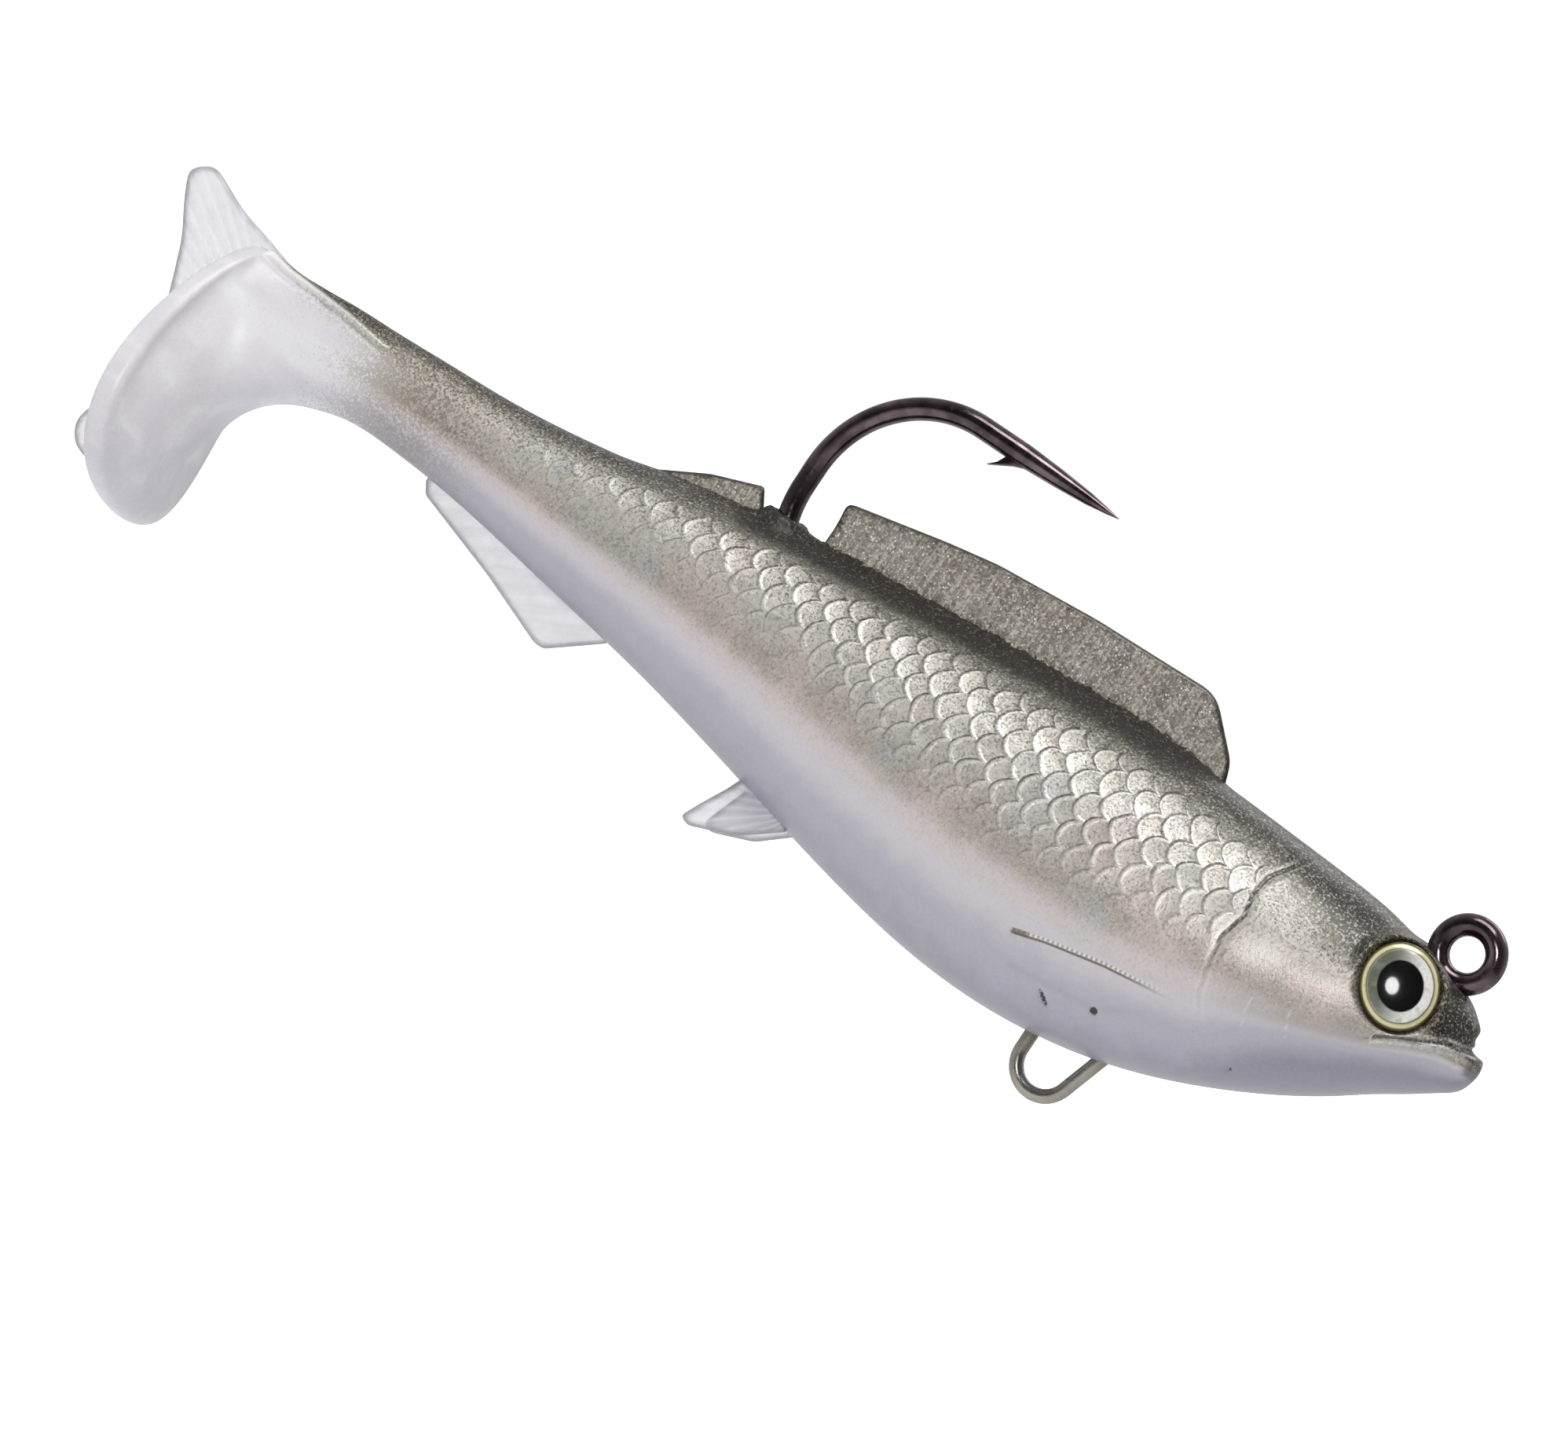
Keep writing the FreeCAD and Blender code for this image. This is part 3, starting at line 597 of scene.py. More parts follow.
def painted_plastic(name):
    """Pearl plastic, sprayed silver on the flanks and olive grey over the back, under a gloss."""
    made, tree, surface = shader(name)
    place = rest_of(tree)
    ahead, _, level = values_of(tree, put(tree, "ShaderNodeSeparateXYZ", {0: place}))
    share, jaw, gill, mouth = (mark_of(tree, key) for key in ("share", "jaw", "gill", "mouth"))
    spark, speck, sand, cloud = flakes_at(tree, place)
    grit = noise(tree, place, 5.5, 2.0, Roughness=0.7)

    # the moulder's hand: no two scales sit quite alike
    wander = put(tree, "ShaderNodeTexNoise", {"Vector": place, "Scale": 0.32, "Detail": 1.0})
    wander = values_of(tree, put(tree, "ShaderNodeSeparateColor", {0: wander.outputs["Color"]}))
    lace = put(tree, "ShaderNodeGroup", {0: mark_of(tree, "run") + (wander[0] - 0.5) * 1.1,
                                         1: mark_of(tree, "drop") + (wander[1] - 0.5) * 1.1},
               node_tree=SCALES)
    line, lip, own = values_of(tree, lace)
    scaled = mark_of(tree, "scaled")
    scaled = scaled * (own + scaled).step(0.35, 0.9)

    # the spray comes further down the top of the head, and furthest on the snout; the jaw is bare
    above_jaw = 1 - jaw
    further = ahead.step(-15.0, -2.0, 0.0, 0.2) * share.step(0.5, 0.2) * above_jaw \
        + ahead.step(-2.0, 2.5, 0.0, 0.3) * above_jaw
    spray = share + (cloud - 0.5) * 0.09 - further + jaw * ahead.step(-13.0, -3.0) * 0.16
    # down the flank: olive back, silver, champagne and lilac pearl paint. The pale band at 0.62 is a
    # painted highlight where the flank turns under, and the darkening from 0.69 to the bottom of the belly
    # is painted shade.
    paint_and_painted_light = ramp(tree, spray, [
        (0.0, (50, 48, 42)), (0.04, (66, 63, 56)), (0.09, (112, 108, 99)), (0.15, (160, 155, 145)),
        (0.24, (212, 207, 199)), (0.40, (214, 208, 200)), (0.53, (184, 176, 167)),
        (0.62, (208, 200, 200)), (0.69, (209, 205, 211)), (0.82, (184, 182, 193)), (1.0, (148, 147, 160))])
    # the cheek has a thinner coat, greyer towards the eye, and the silver drifts to pink and blue
    cheek = ahead.step(-13.5, -4.0) * spray.step(0.16, 0.34) * spray.step(0.86, 0.66) * above_jaw
    drift = noise(tree, place, 0.16, 2.0)
    silver = spray.step(0.15, 0.25) * spray.step(0.7, 0.5)
    paint_and_painted_light = layered(tree, paint_and_painted_light, [
        (cheek * 0.75, (160, 153, 147)),
        (silver * drift.step(0.5, 0.7) * 0.5, (226, 208, 203)),
        (silver * drift.step(0.48, 0.3) * 0.45, (186, 192, 196))])

    # the bare pearl swirled as it was poured, which shows where the plastic is thin
    stretched = put(tree, "ShaderNodeVectorMath", {0: place, 1: (0.05, 0.3, 0.2)}, operation="MULTIPLY")
    swirl = noise(tree, stretched.outputs[0], 1.6, 3.0, Distortion=0.6)
    thin = ahead.step(-84.0, -94.0)
    pearl = ramp(tree, share, [(0.0, (226, 224, 226)), (0.4, (234, 232, 236)), (1.0, (222, 220, 228))])
    pearl = layered(tree, pearl, [(thin * swirl.step(0.55, 0.35) * 0.16, (192, 190, 200)),
                                  (thin * swirl.step(0.5, 0.72) * 0.4, (250, 250, 252))])

    # towards the wrist the paint breaks up into grains and ends, on the flank before the back
    end = ahead + (sand - 0.5) * 11.0 + share.step(0.34, 0.05, 0.0, 5.5) + mark_of(tree, "strip") * 8.0
    painted = end.step(-93.5, -84.0)
    worn = painted.step(0.0, 0.5) * ahead.step(-75.0, -86.0) * share.step(0.05, 0.2, 0.25, 1.0)

    # lines of the mould: the gill cover's edge, the mouth, and the pectoral fin's beaded leading ray. Each
    # is a dark line of painted shade beside a pale one of painted highlight.
    shoulder = mark_of(tree, "cheek")
    # the gill cover's edge: a dark line of painted shade in the groove under it
    gill_dark = gill.step(0.2, 0.07) * shoulder * level.step(-10.5, -7.0, 0.12, 0.9)
    # the mouth's line: a dark line of painted shade in its groove
    mouth_dark = mouth.step(0.17, 0.05) * 0.85
    above, ray_run = mark_of(tree, "ray_above"), mark_of(tree, "ray_run")
    off_line = lambda height: maths(tree, "ABSOLUTE", above - height)
    taper = ray_run.step(12.4, 8.0) * ray_run.step(0.0, 0.25)
    # the leading ray's underside: a dark line of painted shade; its crest: a beaded pale line of painted
    # highlight
    ray_shade_line = off_line(-0.05).step(0.11, 0.04) * taper
    ray_crest_highlight = off_line(0.13).step(0.13, 0.05) * taper
    bead = maths(tree, "SINE", ray_run * (2 * math.pi / 0.36)).step(-0.5, 0.5)
    knob = ray_run.step(1.5, 1.1) * ray_run.step(0.0, 0.2) * off_line(0.05).step(0.24, 0.14)
    hole = mark_of(tree, "pit").step(0.05, -0.04)
    jaw_tip = ahead.step(4.2, 4.8) * level.step(-6.9, -6.4)

    # flake and grain show where there is paint; the skin is rough by the dorsal fin's root
    flaked = painted * spray.step(0.70, 0.45)
    grain = flaked * 0.75 + 0.12
    dusty = flaked * spray.step(0.36, 0.16)
    ragged = mark_of(tree, "rough") + (grit - 0.5) * 1.8
    rough_skin = ragged.step(0.32, 0.6) * sand.step(0.9, 0.4, 0.62, 0.95)

    # the mould's lines are darkened, partly by paint held in them and partly as painted shade; the scales'
    # lips and the edges beside the lines are lightened as painted highlights
    colour = layered(tree, blend_colour(tree, painted, pearl, paint_and_painted_light), [
        (worn * sand.step(0.75, 0.35) * 0.6, (139, 122, 97)),
        # scale lines: paint in the grooves and painted shade
        (line * scaled * share.step(0.55, 0.25, 0.6, 0.92), (70, 65, 56)),
        (scaled * own.step(0.45, 0.9) * spray.step(0.1, 0.2) * 0.3, (244, 241, 236)),
        (scaled * own.step(0.4, 0.1) * 0.22, (150, 145, 136)),
        # scale lips: painted highlight
        (lip * scaled * spray.step(0.06, 0.2) * 0.5, (246, 243, 236)),
        (gill_dark, (58, 54, 47)),
        # pale band along the gill cover's edge: painted highlight
        (gill.step(0.14, 0.24) * gill.step(0.5, 0.28) * shoulder * 0.35, (236, 232, 224)),
        # the mouth's line: painted shade
        (mouth_dark, (66, 60, 50)),
        # pale band beside the mouth's line: painted highlight
        (mouth.step(0.15, 0.26) * mouth.step(0.5, 0.3) * 0.5, (232, 228, 226)),
        # a pale line on each cheek fold: painted highlight
        (mark_of(tree, "fold").step(0.16, 0.03) * 0.28, (244, 242, 242)),
        # crest of the leading ray and its beads: painted highlight
        (ray_crest_highlight * 0.8, blend_colour(tree, bead, (166, 156, 146), (238, 234, 228))),
        # underside of the leading ray: painted shade
        (ray_shade_line * 0.85, (92, 80, 64)),
        (knob * 0.8, (104, 92, 74)),
        (mark_of(tree, "blade") * 0.25, (150, 146, 150)),
        (mark_of(tree, "groove") * 0.7, (96, 88, 60)),
        # a pale line along the wrist's crease: painted highlight on its ridge
        (mark_of(tree, "crease") * 0.75, (245, 244, 240)),
        (hole, (40, 36, 34)),
        (jaw_tip * 0.75, (84, 84, 70)),
        (grain * sand.step(0.5, 0.15) * 0.42, (80, 76, 68)),
        (grain * sand.step(0.55, 0.95) * 0.42, (240, 236, 227)),
        (dusty * grit.step(0.5, 0.36) * 0.6, (44, 42, 36)),
        (dusty * grit.step(0.52, 0.68) * 0.34, (206, 202, 192)),
        (spark * flaked * 0.26, (252, 250, 242)),
        (speck * flaked * 0.15, (50, 47, 42)),
        (rough_skin, (46, 42, 35))])
    height = sand * flaked * 0.25 + cloud * 0.4 + (lip * 0.5 - line) * scaled * 0.8
    for cut in (gill_dark, mouth_dark, hole, ray_shade_line):
        height = height - cut * 0.8
    finish(tree, surface, {
        "Base Color": colour, "Metallic": flaked * 0.55,
        "Roughness": sand * 0.16 + spray.step(0.0, 0.5, 0.36, 0.28) + rough_skin * 0.4,
        "Subsurface Weight": 0.12, "Subsurface Radius": (1.0, 0.9, 0.95), "Subsurface Scale": 0.0012,
        "Coat Weight": 0.3, "Coat Roughness": 0.27, "Normal": bumps(tree, height, 0.7, 0.0001)})
    return made


front_skin.data.materials.append(painted_plastic("painted soft plastic"))
rear_skin.data.materials.append(painted_plastic("pearl soft plastic"))
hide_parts("front_body", "rear_body")
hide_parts("tail_stem", "tail_paddle")
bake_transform(front_skin)
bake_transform(rear_skin)


# ------------------------------------------------------------------ hook
# High-carbon wire bent to a ring, leg, shank and round bend, forged and ground to a needle point
# with a cut barb, then nickelled black. The shank is cast into the lead and the flesh.
def wire_loop(radius, start, heading, runs, sides=32, pitch=0.35):
    """Wire of that radius from a round end: each run is a straight, or a bend about a centre."""
    clear_selection()
    angle = math.radians(heading)
    bpy.ops.mesh.primitive_circle_add(vertices=sides, radius=radius * MM, fill_type="NGON",
                                      location=(start[0] * MM, 0, start[1] * MM),
                                      rotation=(0, math.pi / 2 - angle, 0))
    piece = bpy.context.object
    bpy.ops.object.transform_apply(location=True, rotation=True, scale=False)
    bpy.ops.object.mode_set(mode="EDIT")
    bpy.ops.mesh.select_all(action="SELECT")
    place = Vector((start[0], 0, start[1]))
    for kind, *how in runs:
        if kind == "straight":
            ahead = Vector((math.cos(angle), 0, math.sin(angle))) * how[0]
            bpy.ops.mesh.extrude_region_move(TRANSFORM_OT_translate={"value": ahead * MM})
            place = place + ahead
        else:
            bend_radius, turn = how          # positive turns to the left, with x to the right
            side = math.copysign(1, turn)
            centre = place + Vector((-math.sin(angle), 0, math.cos(angle))) * bend_radius * side
            steps = max(6, round(bend_radius * abs(math.radians(turn)) / pitch))
            bpy.ops.mesh.spin(steps=steps, angle=math.radians(abs(turn)), center=centre * MM,
                              axis=(0, side, 0))
            turned = math.radians(turn)
            arm = place - centre
            arm = Vector((arm.x * math.cos(turned) - arm.z * math.sin(turned), 0,
                          arm.x * math.sin(turned) + arm.z * math.cos(turned)))
            place = centre + arm
            angle += turned
        if kind == "straight" and len(how) > 1:
            bpy.ops.transform.resize(value=(how[1],) * 3, center_override=place * MM)
    face_outward()
    bpy.ops.object.shade_smooth_by_angle(angle=math.radians(40))
    return piece


HOOK_WIRE, RING, ELBOW = 0.82, 1.95, 4.0          # radii of the wire, the ring and the elbow
SHANK_DROP, LEG_ANGLE = 8.1, math.radians(60)
BEND_X, BEND_R, THROAT = -48.9, 8.8, 1.5
elbow_run = ELBOW * math.tan(LEG_ANGLE / 2)
leg = SHANK_DROP / math.sin(LEG_ANGLE) - elbow_run - RING
shank = -BEND_X - SHANK_DROP / math.tan(LEG_ANGLE) - elbow_run
hook = wire_loop(HOOK_WIRE, (-RING * math.cos(LEG_ANGLE), -RING * math.sin(LEG_ANGLE)), 240, [
    ("straight", leg), ("bend", ELBOW, -60.0), ("straight", shank), ("bend", BEND_R, -90.0),
    ("straight", THROAT), ("bend", BEND_R, -90.0), ("straight", 3.6), ("straight", 3.0, 0.80),
    ("straight", 2.6, 0.68), ("straight", 1.7, 0.45), ("straight", 0.9, 0.12)])
clear_selection()
bpy.ops.mesh.primitive_torus_add(major_segments=72, minor_segments=28, major_radius=(RING + 0.04) * MM,
                                 minor_radius=(HOOK_WIRE - 0.04) * MM, rotation=(math.pi / 2, 0, 0))
bpy.ops.object.transform_apply(location=True, rotation=True, scale=False)
bpy.ops.object.shade_smooth()
ring = bpy.context.object
clear_selection()
# the barb is a sliver lifted from the spear, its free end towards the bend
BARB = [(-43.9, 10.55), (-45.6, 9.95), (-47.3, 9.05), (-46.7, 9.6), (-46.3, 10.35), (-45.3, 11.0)]
bpy.ops.mesh.primitive_circle_add(vertices=len(BARB), radius=1.0, fill_type="NGON")
barb = bpy.context.object
for vertex, (bx, bz) in zip(barb.data.vertices, BARB):
    vertex.co = (bx * MM, 0.3 * MM, bz * MM)
bpy.ops.object.mode_set(mode="EDIT")
bpy.ops.mesh.select_all(action="SELECT")
bpy.ops.mesh.extrude_region_move(TRANSFORM_OT_translate={"value": (0, -0.6 * MM, 0)})
face_outward()
bevel = barb.modifiers.new("worn edges", "BEVEL")
bevel.width = 0.07 * MM
bevel.segments = 2
bpy.ops.object.modifier_apply(modifier="worn edges")
bpy.ops.object.shade_smooth_by_angle(angle=math.radians(40))
clear_selection()
for part in (ring, barb, hook):
    part.select_set(True)
bpy.context.view_layer.objects.active = hook
bpy.ops.object.join()
hook.name = "hook_wire"


def plated_wire(name, colour, second, roughness, scratch):
    """Plated steel wire: a metal whose tint drifts, with drawing marks and handling scuffs."""
    made, tree, surface = shader(name)
    place = object_place(tree)
    drift = noise(tree, place, 420.0, 3.0)
    scuffs = noise(tree, place, 2600.0, 4.0, Roughness=0.7)
    colour = layered(tree, blend_colour(tree, drift.step(0.35, 0.68), colour, second),
                     [(scuffs.step(0.62, 0.74) * scratch, (205, 200, 196))])
    finish(tree, surface, {
        "Base Color": colour, "Metallic": 1.0,
        "Roughness": scuffs.step(0.3, 0.7, roughness, roughness + 0.14),
        "Normal": bumps(tree, scuffs, 0.12, 0.00003)})
    return made


hook.data.materials.append(plated_wire("black nickel", (74, 65, 69), (118, 104, 109), 0.09, 0.25))
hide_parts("hook")
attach(hook, "front")

# ------------------------------------------------------------------ belly hanger
# A loop of tinned steel wire that a treble hangs from, bent round between two straight legs. The
# legs are cast into the lead and come out of the belly.
hanger = wire_loop(0.52, (-22.0, -13.0), 270,
                   [("straight", 9.4), ("bend", 2.1, 162.0), ("straight", 9.0)], sides=24, pitch=0.25)
hanger.name = "hanger_wire"
hanger.data.materials.append(plated_wire("tinned wire", (168, 164, 156), (140, 136, 128), 0.2, 0.5))
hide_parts("belly_hanger")
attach(hanger, "front")


# ------------------------------------------------------------------ lead slug
# The lead that gives the lure its weight, cast round the hook's shank and the hanger's legs. It
# lies inside the throat, out of sight, and keeps its CAD mesh.
def cast_lead():
    """Dull grey lead with a crystalline bloom and small casting pits."""
    made, tree, surface = shader("lead")
    place = object_place(tree)
    bloom = Value(tree, put(tree, "ShaderNodeTexVoronoi", {"Vector": place, "Scale": 900.0})
                  .outputs["Distance"])
    patina = noise(tree, place, 260.0, 5.0)
    colour = ramp(tree, patina, [(0.3, (92, 94, 98)), (0.7, (138, 140, 143))])
    finish(tree, surface, {
        "Base Color": blend_colour(tree, bloom * 0.3, colour, (170, 171, 172)), "Metallic": 0.8,
        "Roughness": patina.step(0.2, 0.8, 0.38, 0.6), "Normal": bumps(tree, patina, 0.4, 0.0001)})
    return made


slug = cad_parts["jig_weight"]
slug.data.materials.clear()
slug.data.materials.append(cast_lead())


# ------------------------------------------------------------------ eyes
# A printed foil disc under a clear resin dome, on each side of the head. Both are glued in a
# seat of the casting that faces forward and up.
def printed_foil():
    """Gold ring, dark line, silver iris and black pupil, printed on foil and read by the radius, with the
    dome's light and shade painted across the iris.
    """
    made, tree, surface = shader("eye foil")
    radius = mark_of(tree, "radius")
    weave = noise(tree, object_place(tree), 1500.0, 3.0)
    ring_at = radius + (weave - 0.5) * 0.02
    printed = ramp(tree, ring_at, [
        (0.0, (1, 1, 2)), (0.55, (2, 2, 3)), (0.585, (74, 78, 68)), (0.63, (255, 255, 255)),
        (0.79, (255, 255, 252)), (0.825, (100, 92, 52)), (0.87, (226, 220, 172)),
        (0.915, (238, 232, 188)), (0.955, (108, 98, 52)), (1.0, (70, 62, 34))], smooth="LINEAR")
    # the dome gathers the light onto the foil's far side: that bright side and the dim near one are painted
    # into the iris's colour
    lit = mark_of(tree, "fore").step(-0.45, 0.55)
    iris = layered(tree, blend_colour(tree, lit, (112, 118, 104), (255, 255, 252)),
                   [(weave.step(0.52, 0.66, 0.0, 0.4), (150, 158, 140))])
    on_iris = ring_at.step(0.56, 0.6) * ring_at.step(0.825, 0.79)
    finish(tree, surface, {
        "Base Color": blend_colour(tree, on_iris, printed, iris), "Specular IOR Level": 0.05,
        "Metallic": radius.step(0.54, 0.6, 0.0, 0.12), "Roughness": weave.step(0.3, 0.7, 0.22, 0.38),
        "Coat Weight": 1.0, "Coat Roughness": 0.07})
    return made


def clear_resin():
    """Clear resin with a trace of haze and tiny bubbles."""
    made, tree, surface = shader("eye resin")
    haze = noise(tree, object_place(tree), 900.0, 4.0)
    finish(tree, surface, {
        "Base Color": ramp(tree, haze, [(0.3, (20, 21, 20)), (0.8, (60, 62, 58))]),
        "Alpha": haze.step(0.4, 0.9, 0.035, 0.05), "Roughness": 0.03, "IOR": 1.5})
    return made


FOIL, RESIN = printed_foil(), clear_resin()


def crown(name, side, base, rise, radius, rings=30):
    """A round cap on a short drum: spun from its section about the eye's own axis."""
    centre, facing, short, tall = eye_places[side]
    arc = np.linspace(0, 1, rings)
    out = np.concatenate([[0.0], radius * np.sin(arc * math.pi / 2)[1:], [radius], [0.0]])
    up = np.concatenate([[base + rise], base + rise * np.cos(arc * math.pi / 2)[1:] ** 0.9, [base - 0.3],
                         [base - 0.3]])
    turn = np.linspace(0, 2 * math.pi, 97)
    points = centre + out[:, None, None] * (EYE_SLIM * np.cos(turn)[None, :, None] * short
                                            + np.sin(turn)[None, :, None] * tall) \
        + up[:, None, None] * facing
    piece = draped_grid(name, points)
    note(piece, "radius", np.repeat((out / radius)[:, None], len(turn), axis=1))
    # which way across the eye, for the light and shade painted on the iris
    note(piece, "fore", (out / radius)[:, None] * np.cos(turn + 0.35)[None, :])
    weld(piece)
    bpy.ops.object.shade_smooth_by_angle(angle=math.radians(50))
    return piece


for side in ("left", "right"):
    foil = crown("eye_print_" + side, side, 0.0, 0.72, EYE_R)
    foil.data.materials.append(FOIL)
    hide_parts("eye_disc_" + side)
    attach(foil, "front")
    dome = crown("eye_lens_" + side, side, 0.12, 0.94, EYE_R * 0.985)
    dome.data.materials.append(RESIN)
    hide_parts("eye_dome_" + side)
    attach(dome, "front")


# ------------------------------------------------------------------ fins
# Thin blades of the same soft plastic, moulded clear with raised rays. Smoke-tinted with flake on
# the back, clear under the belly and at the tail.
def fin_plastic(name, body_colour, ray_colour, rim_colour, clear, flake):
    """See-through plastic: denser along the rays and the rim, with or without flake."""
    made, tree, surface = shader(name)
    place = rest_of(tree)
    spark, _, sand, cloud = flakes_at(tree, place)
    rays, rim, root = (mark_of(tree, key) for key in ("ray", "rim", "root"))
    # faint slanting strokes left by the mould's cutter
    slant = put(tree, "ShaderNodeMapping", {"Vector": place, "Rotation": (0, math.radians(38), 0),
                                            "Scale": (4.6, 1.0, 0.32)}).outputs[0]
    stroke = noise(tree, slant, 1.0, 2.0)
    colour = layered(tree, blend_colour(tree, rays, body_colour, ray_colour), [
        (stroke.step(0.5, 0.64) * (flake * 0.45), (196, 188, 172)),
        (stroke.step(0.48, 0.36) * (flake * 0.4), (84, 78, 66)),
        (sand.step(0.45, 0.1) * (flake * 0.75), (52, 48, 38)),
        (sand.step(0.52, 0.85) * (flake * 0.65), (220, 213, 198)),
        (spark * flake, (250, 247, 238)),
        (rim, rim_colour)])
    dense = rays * 0.14 + clear + rim * 0.4 + root * 0.25
    finish(tree, surface, {
        "Base Color": colour, "Alpha": maths(tree, "ADD", dense, (cloud - 0.5) * 0.25, clamp=True),
        "Roughness": cloud.step(0.3, 0.7, 0.26, 0.4), "Coat Weight": 0.3, "Coat Roughness": 0.15,
        "Normal": bumps(tree, cloud + sand * (0.4 * flake), 0.3, 0.0001)})
    return made


SMOKE = fin_plastic("smoke fin", (108, 99, 83), (148, 138, 121), (40, 36, 29), 0.70, 1.2)
CLEAR = fin_plastic("clear fin", (206, 204, 213), (240, 239, 246), (172, 170, 176), 0.42, 0.1)


def outline(points, count, rounding):
    """Evenly spaced points along a bent line, its corners rounded off."""
    points = np.array(points, float)
    run = np.concatenate([[0], np.cumsum(np.linalg.norm(np.diff(points, axis=0), axis=1))])
    fine = np.linspace(0, run[-1], 600)
    track = np.stack([np.interp(fine, run, points[:, k]) for k in (0, 1)], -1)
    reach = max(1, round(rounding / run[-1] * 600))
    window = np.hanning(2 * reach + 3)[1:-1]
    padded = np.concatenate([2 * track[:1] - track[reach:0:-1], track,
                             2 * track[-1:] - track[-2:-reach - 2:-1]])
    track = np.stack([np.convolve(padded[:, k], window / window.sum(), "valid") for k in (0, 1)], -1)
    run = np.concatenate([[0], np.cumsum(np.linalg.norm(np.diff(track, axis=0), axis=1))])
    even = np.linspace(0, run[-1], count)
    return np.stack([np.interp(even, run, track[:, k]) for k in (0, 1)], -1)


def fin(name, node, root, edge, rays, thick, plastic, place=lambda p: p, rounding=1.0, fine=0.16):
    """A blade from its buried root to its free edge. rays(x, z) is 1 on a ray and 0 between."""
    long = max(np.linalg.norm(np.diff(np.array(edge), axis=0), axis=1).sum(), 4)
    across = max(np.hypot(*(np.array(edge).mean(axis=0) - np.array(root).mean(axis=0))) * 1.3, 3)
    nu, nv = round(long / fine), round(across / fine)
    low, high = outline(root, nu, 0.5), outline(edge, nu, rounding)
    v = np.linspace(0, 1, nv)[None, :, None]
    flat = low[:, None] * (1 - v) + high[:, None] * v
    fx, fz = flat[..., 0], flat[..., 1]
    free = np.concatenate([flat[0], high, flat[-1][::-1]])
    away, _ = to_line(fx, fz, free[::3].tolist())
    ray = rays(fx, fz)
    half = (thick[0] + (thick[1] - thick[0]) * v[..., 0] + 0.07 * ray) / 2 * step(-0.15, 0.35, away)
    sides = [np.stack([fx, sign * half, fz], -1) for sign in (-1, 1)]
    shell = np.concatenate([sides[0], sides[1][:, ::-1]], axis=1)
    shell = np.concatenate([shell, shell[:, :1]], axis=1)
    loop = lambda values: np.concatenate([values, values[:, ::-1], values[:, :1]], axis=1)
    shell[0, :, 1] = 0
    shell[-1, :, 1] = 0
    piece = draped_grid(name, np.array([[place(p) for p in row] for row in shell]))
    note(piece, "rest", shell)
    note(piece, "ray", loop(ray))
    note(piece, "rim", loop(ridge(away - 0.08, 0.2)))
    note(piece, "root", loop(np.repeat(step(0.45, 0.1, v[..., 0]), nu, axis=0)))
    weld(piece)
    bpy.ops.object.mode_set(mode="EDIT")
    face_outward()
    piece.data.materials.append(plastic)
    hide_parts(node)
    return piece


def slanted(pitch, lean):
    """Straight rays a pitch apart, leaning back by that many degrees from upright."""
    turn = math.radians(lean)
    return lambda fx, fz: (0.5 + 0.5 * np.cos((fx * math.cos(turn) + fz * math.sin(turn))
                                              * 2 * math.pi / pitch)) ** 2


def fanned(pivot, spread):
    """Rays that fan out from a point, that many to the full circle."""
    return lambda fx, fz: (0.5 + 0.5 * np.cos(np.arctan2(fz - pivot[1], fx - pivot[0]) * spread)) ** 2


dorsal = fin("dorsal_blade", "dorsal_fin", [(-20.9, -1.2), (-37.0, -1.8), (-54.2, -3.6)],
             [(-20.4, 0.2), (-20.9, 1.6), (-24.0, 4.5), (-25.0, 4.85), (-34.4, 4.5), (-42.5, 3.8),
              (-46.5, 3.1), (-54.3, 1.45), (-54.0, 0.0)],
             slanted(0.72, 66), (0.95, 0.5), SMOKE, rounding=1.1)
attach(dorsal, "front")
second_dorsal = fin("second_dorsal_blade", "second_dorsal_fin", [(-59.4, -4.6), (-68.6, -6.0)],
                    [(-58.9, -2.8), (-60.1, -0.9), (-64.0, -2.3), (-68.4, -4.6)],
                    slanted(0.72, 66), (0.85, 0.45), SMOKE, rounding=0.5)
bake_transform(second_dorsal)
anal = fin("anal_blade", "anal_fin", [(-63.8, -14.6), (-72.0, -13.6), (-81.8, -12.8)],
           [(-63.6, -16.3), (-67.4, -19.2), (-68.2, -19.2), (-74.0, -17.2), (-81.4, -15.1), (-82.0, -14.2)],
           slanted(1.25, -62), (0.8, 0.4), CLEAR, rounding=0.5)
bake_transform(anal)
for side, sign in (("left", 1), ("right", -1)):
    lean = Matrix.Rotation(math.radians(14) * sign, 3, "X")
    hang = lambda p, lean=lean, sign=sign: np.array(lean @ Vector((p[0], p[1], p[2] + 19.3))) \
        + np.array([0, sign * 1.5, -19.3])
    pelvic = fin("pelvic_blade_" + side, "pelvic_fin_" + side, [(-44.6, -18.2), (-49.0, -17.4)],
                 [(-44.2, -19.6), (-47.0, -21.9), (-50.2, -23.2), (-51.0, -22.9), (-50.4, -21.4),
                  (-49.2, -18.8)],
                 fanned((-43.5, -17.5), 46), (0.8, 0.45), CLEAR, place=hang, rounding=0.6)
    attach(pelvic, "front")
caudal = fin("caudal_blade", "caudal_fin",
             [(-99.5, -9.0), (-101.5, -11.0), (-102.3, -18.0), (-101.6, -25.0), (-100.5, -26.8)],
             [(-100.3, -7.15), (-102.4, -6.6), (-105.6, -5.9), (-109.6, -4.3), (-111.3, -5.6),
              (-110.2, -7.7), (-108.7, -10.0), (-107.4, -13.2), (-106.2, -16.5), (-107.2, -23.0),
              (-108.0, -25.4), (-107.0, -26.9), (-104.6, -27.4)],
             fanned((-93.0, -16.5), 118), (0.9, 0.4), CLEAR, rounding=1.5)
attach(caudal, "tail")

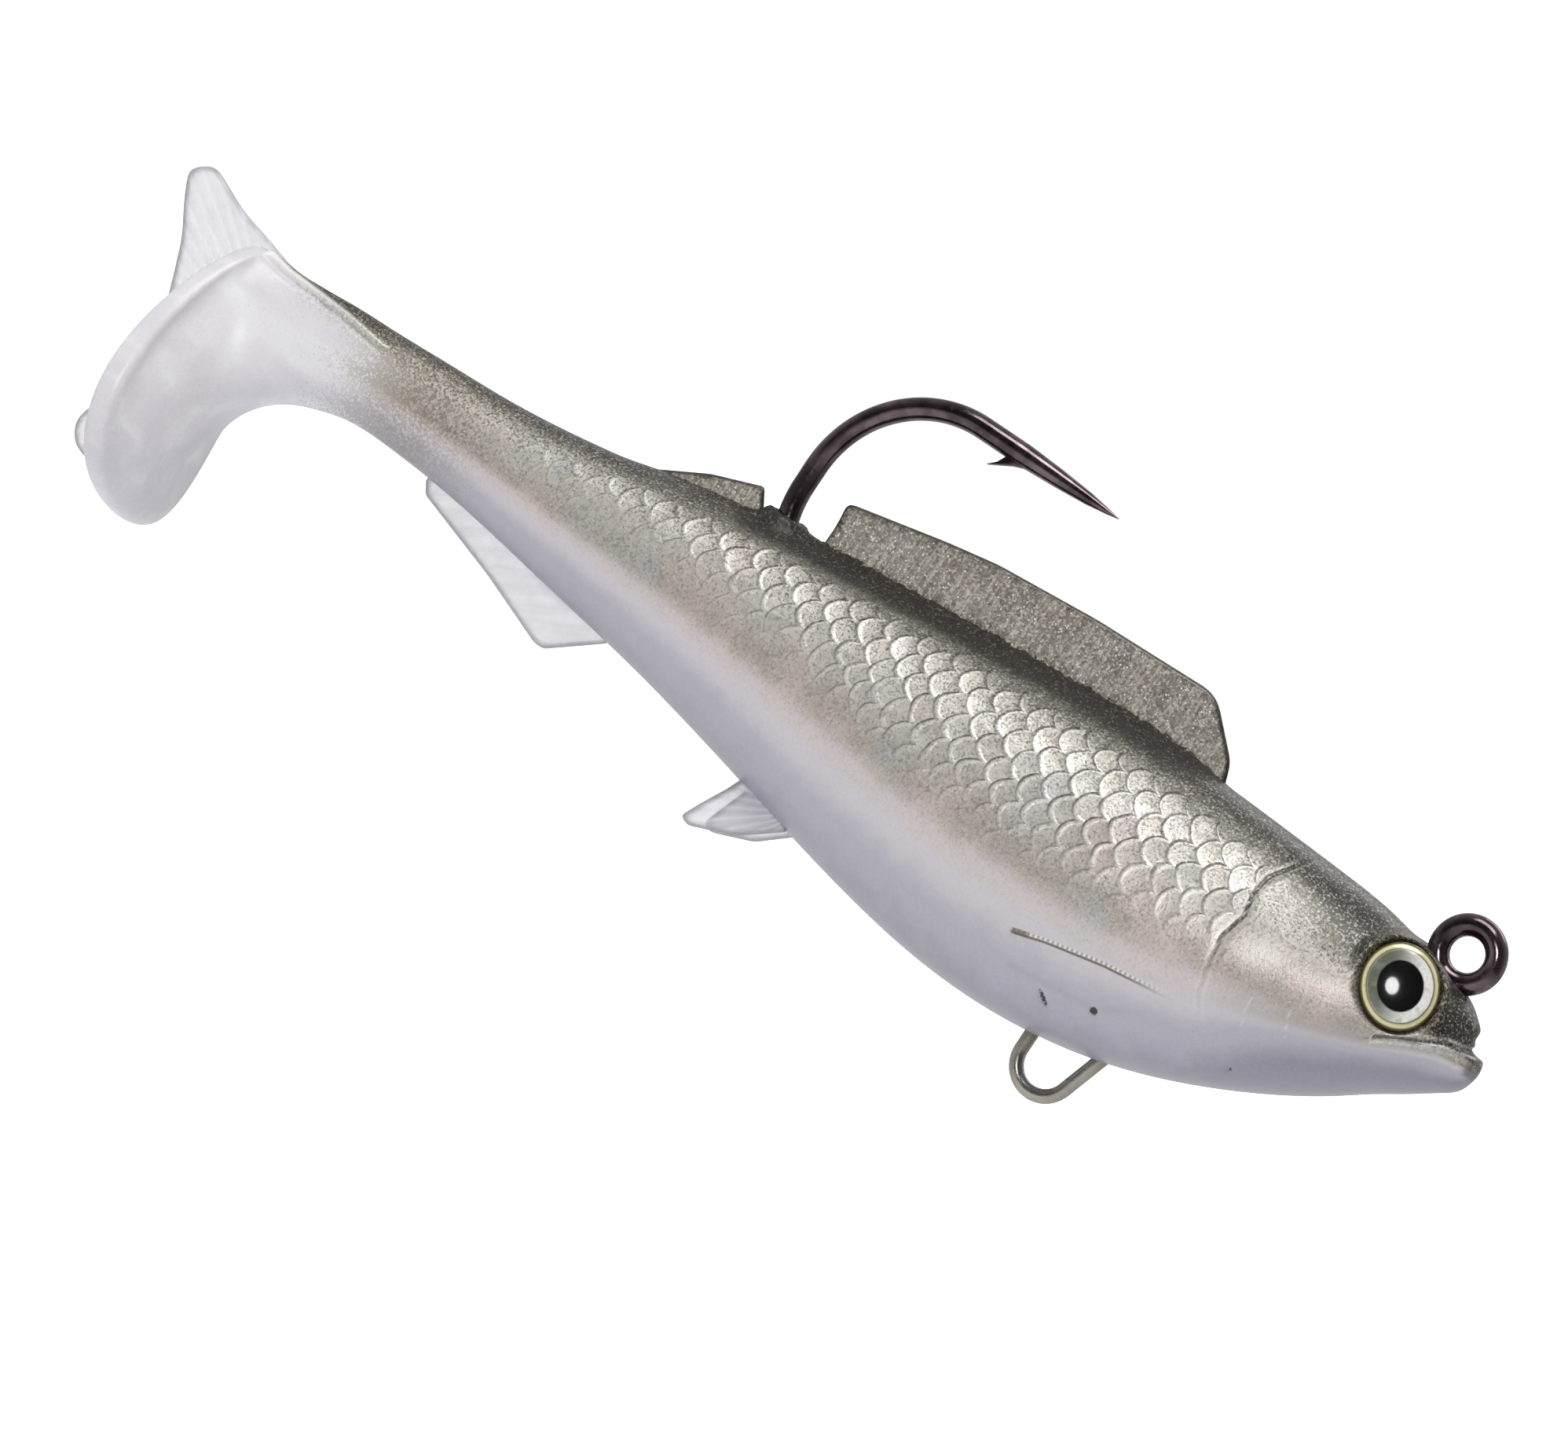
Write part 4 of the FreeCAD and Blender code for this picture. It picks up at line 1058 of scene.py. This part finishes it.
# ------------------------------------------------------------------ studio
# A white sweep well below the lure. A small round key light by the camera makes the spark in the
# eye, a big softbox overhead lights the back, and a rim light stands behind.
clear_selection()
bpy.ops.mesh.primitive_plane_add(size=6.0, location=(0, 0, -0.16))
floor = bpy.context.object
floor.name = "floor"
bpy.ops.object.transform_apply(location=True, rotation=False, scale=False)
paper, tree, surface = shader("studio paper")
tooth = noise(tree, object_place(tree), 60.0, 4.0)
# it glows for the camera alone, so that the sweep stays white and throws no light up
finish(tree, surface, {
    "Base Color": ramp(tree, tooth, [(0.3, (250, 250, 250)), (0.7, (253, 253, 253))]), "Roughness": 0.9,
    "Emission Color": (1.0, 1.0, 1.0, 1.0),
    "Emission Strength": put(tree, "ShaderNodeLightPath").outputs["Is Camera Ray"]})
# from below the sweep is out of the way
sweep = put(tree, "ShaderNodeMixShader", {
    0: put(tree, "ShaderNodeNewGeometry").outputs["Backfacing"], 1: surface.outputs[0],
    2: put(tree, "ShaderNodeBsdfTransparent").outputs[0]})
finish(tree, tree.nodes["Material Output"], {"Surface": sweep.outputs[0]})
floor.data.materials.append(paper)

# the room is bright behind the lure and dark behind the camera, which gives the wire its dark core
AIM = Vector((-0.04914, 0, -0.01381))
AZIMUTH, ELEVATION, ROLL = math.radians(20.0), math.radians(5.0), math.radians(33.4)


def bearing(azimuth, elevation):
    """The direction from the lure to something at that bearing, in radians."""
    return Vector((math.sin(azimuth) * math.cos(elevation), -math.cos(azimuth) * math.cos(elevation),
                   math.sin(elevation)))


BACK = bearing(AZIMUTH, ELEVATION)
world = bpy.data.worlds.new("white studio")
bpy.context.scene.world = world
world.use_nodes = True
air = world.node_tree
sky = air.nodes["Background"]
seen = Value(air, put(air, "ShaderNodeLightPath").outputs["Is Camera Ray"])
towards = put(air, "ShaderNodeVectorMath", {0: put(air, "ShaderNodeTexCoord").outputs["Generated"],
                                           1: BACK}, operation="DOT_PRODUCT").outputs["Value"]
room = Value(air, towards).step(-0.35, 0.8, 0.62, 0.10)
finish(air, sky, {"Strength": maths(air, "MAXIMUM", seen * 1.05, room), "Color": (1.0, 1.0, 1.0, 1.0)})


def softbox(name, azimuth, elevation, away, size, power):
    """A rectangular area light aimed at the lure from that bearing, in degrees."""
    lamp = bpy.data.lights.new(name, "AREA")
    lamp.shape = "RECTANGLE"
    lamp.size, lamp.size_y = size
    lamp.energy = power
    holder = bpy.data.objects.new(name, lamp)
    bpy.context.scene.collection.objects.link(holder)
    back = bearing(math.radians(azimuth), math.radians(elevation))
    holder.location = AIM + back * away
    holder.rotation_euler = (-back).to_track_quat("-Z", "Y").to_euler()
    return holder


key = softbox("key", 12.5, 13.3, 0.75, (0.13, 0.13), 0.95)
key.data.shape = "DISK"
softbox("overhead", -12, 62, 0.7, (0.45, 0.3), 3.0)
softbox("rim", 170, 50, 0.8, (0.6, 0.3), 1.2)

camera = bpy.data.objects.new("camera", bpy.data.cameras.new("camera"))
bpy.context.scene.collection.objects.link(camera)
right = Vector((math.cos(AZIMUTH), math.sin(AZIMUTH), 0))
up = BACK.cross(right)
side_axis = right * math.cos(ROLL) + up * math.sin(ROLL)
up_axis = up * math.cos(ROLL) - right * math.sin(ROLL)
camera.matrix_world = Matrix.Translation(AIM + BACK * 0.420) \
    @ Matrix((side_axis, up_axis, BACK)).transposed().to_4x4()
camera.data.lens = 139.22
camera.data.sensor_width = 36.0
camera.data.clip_start, camera.data.clip_end = 0.01, 20.0
bpy.context.scene.camera = camera
bpy.context.scene.view_settings.view_transform = "Standard"
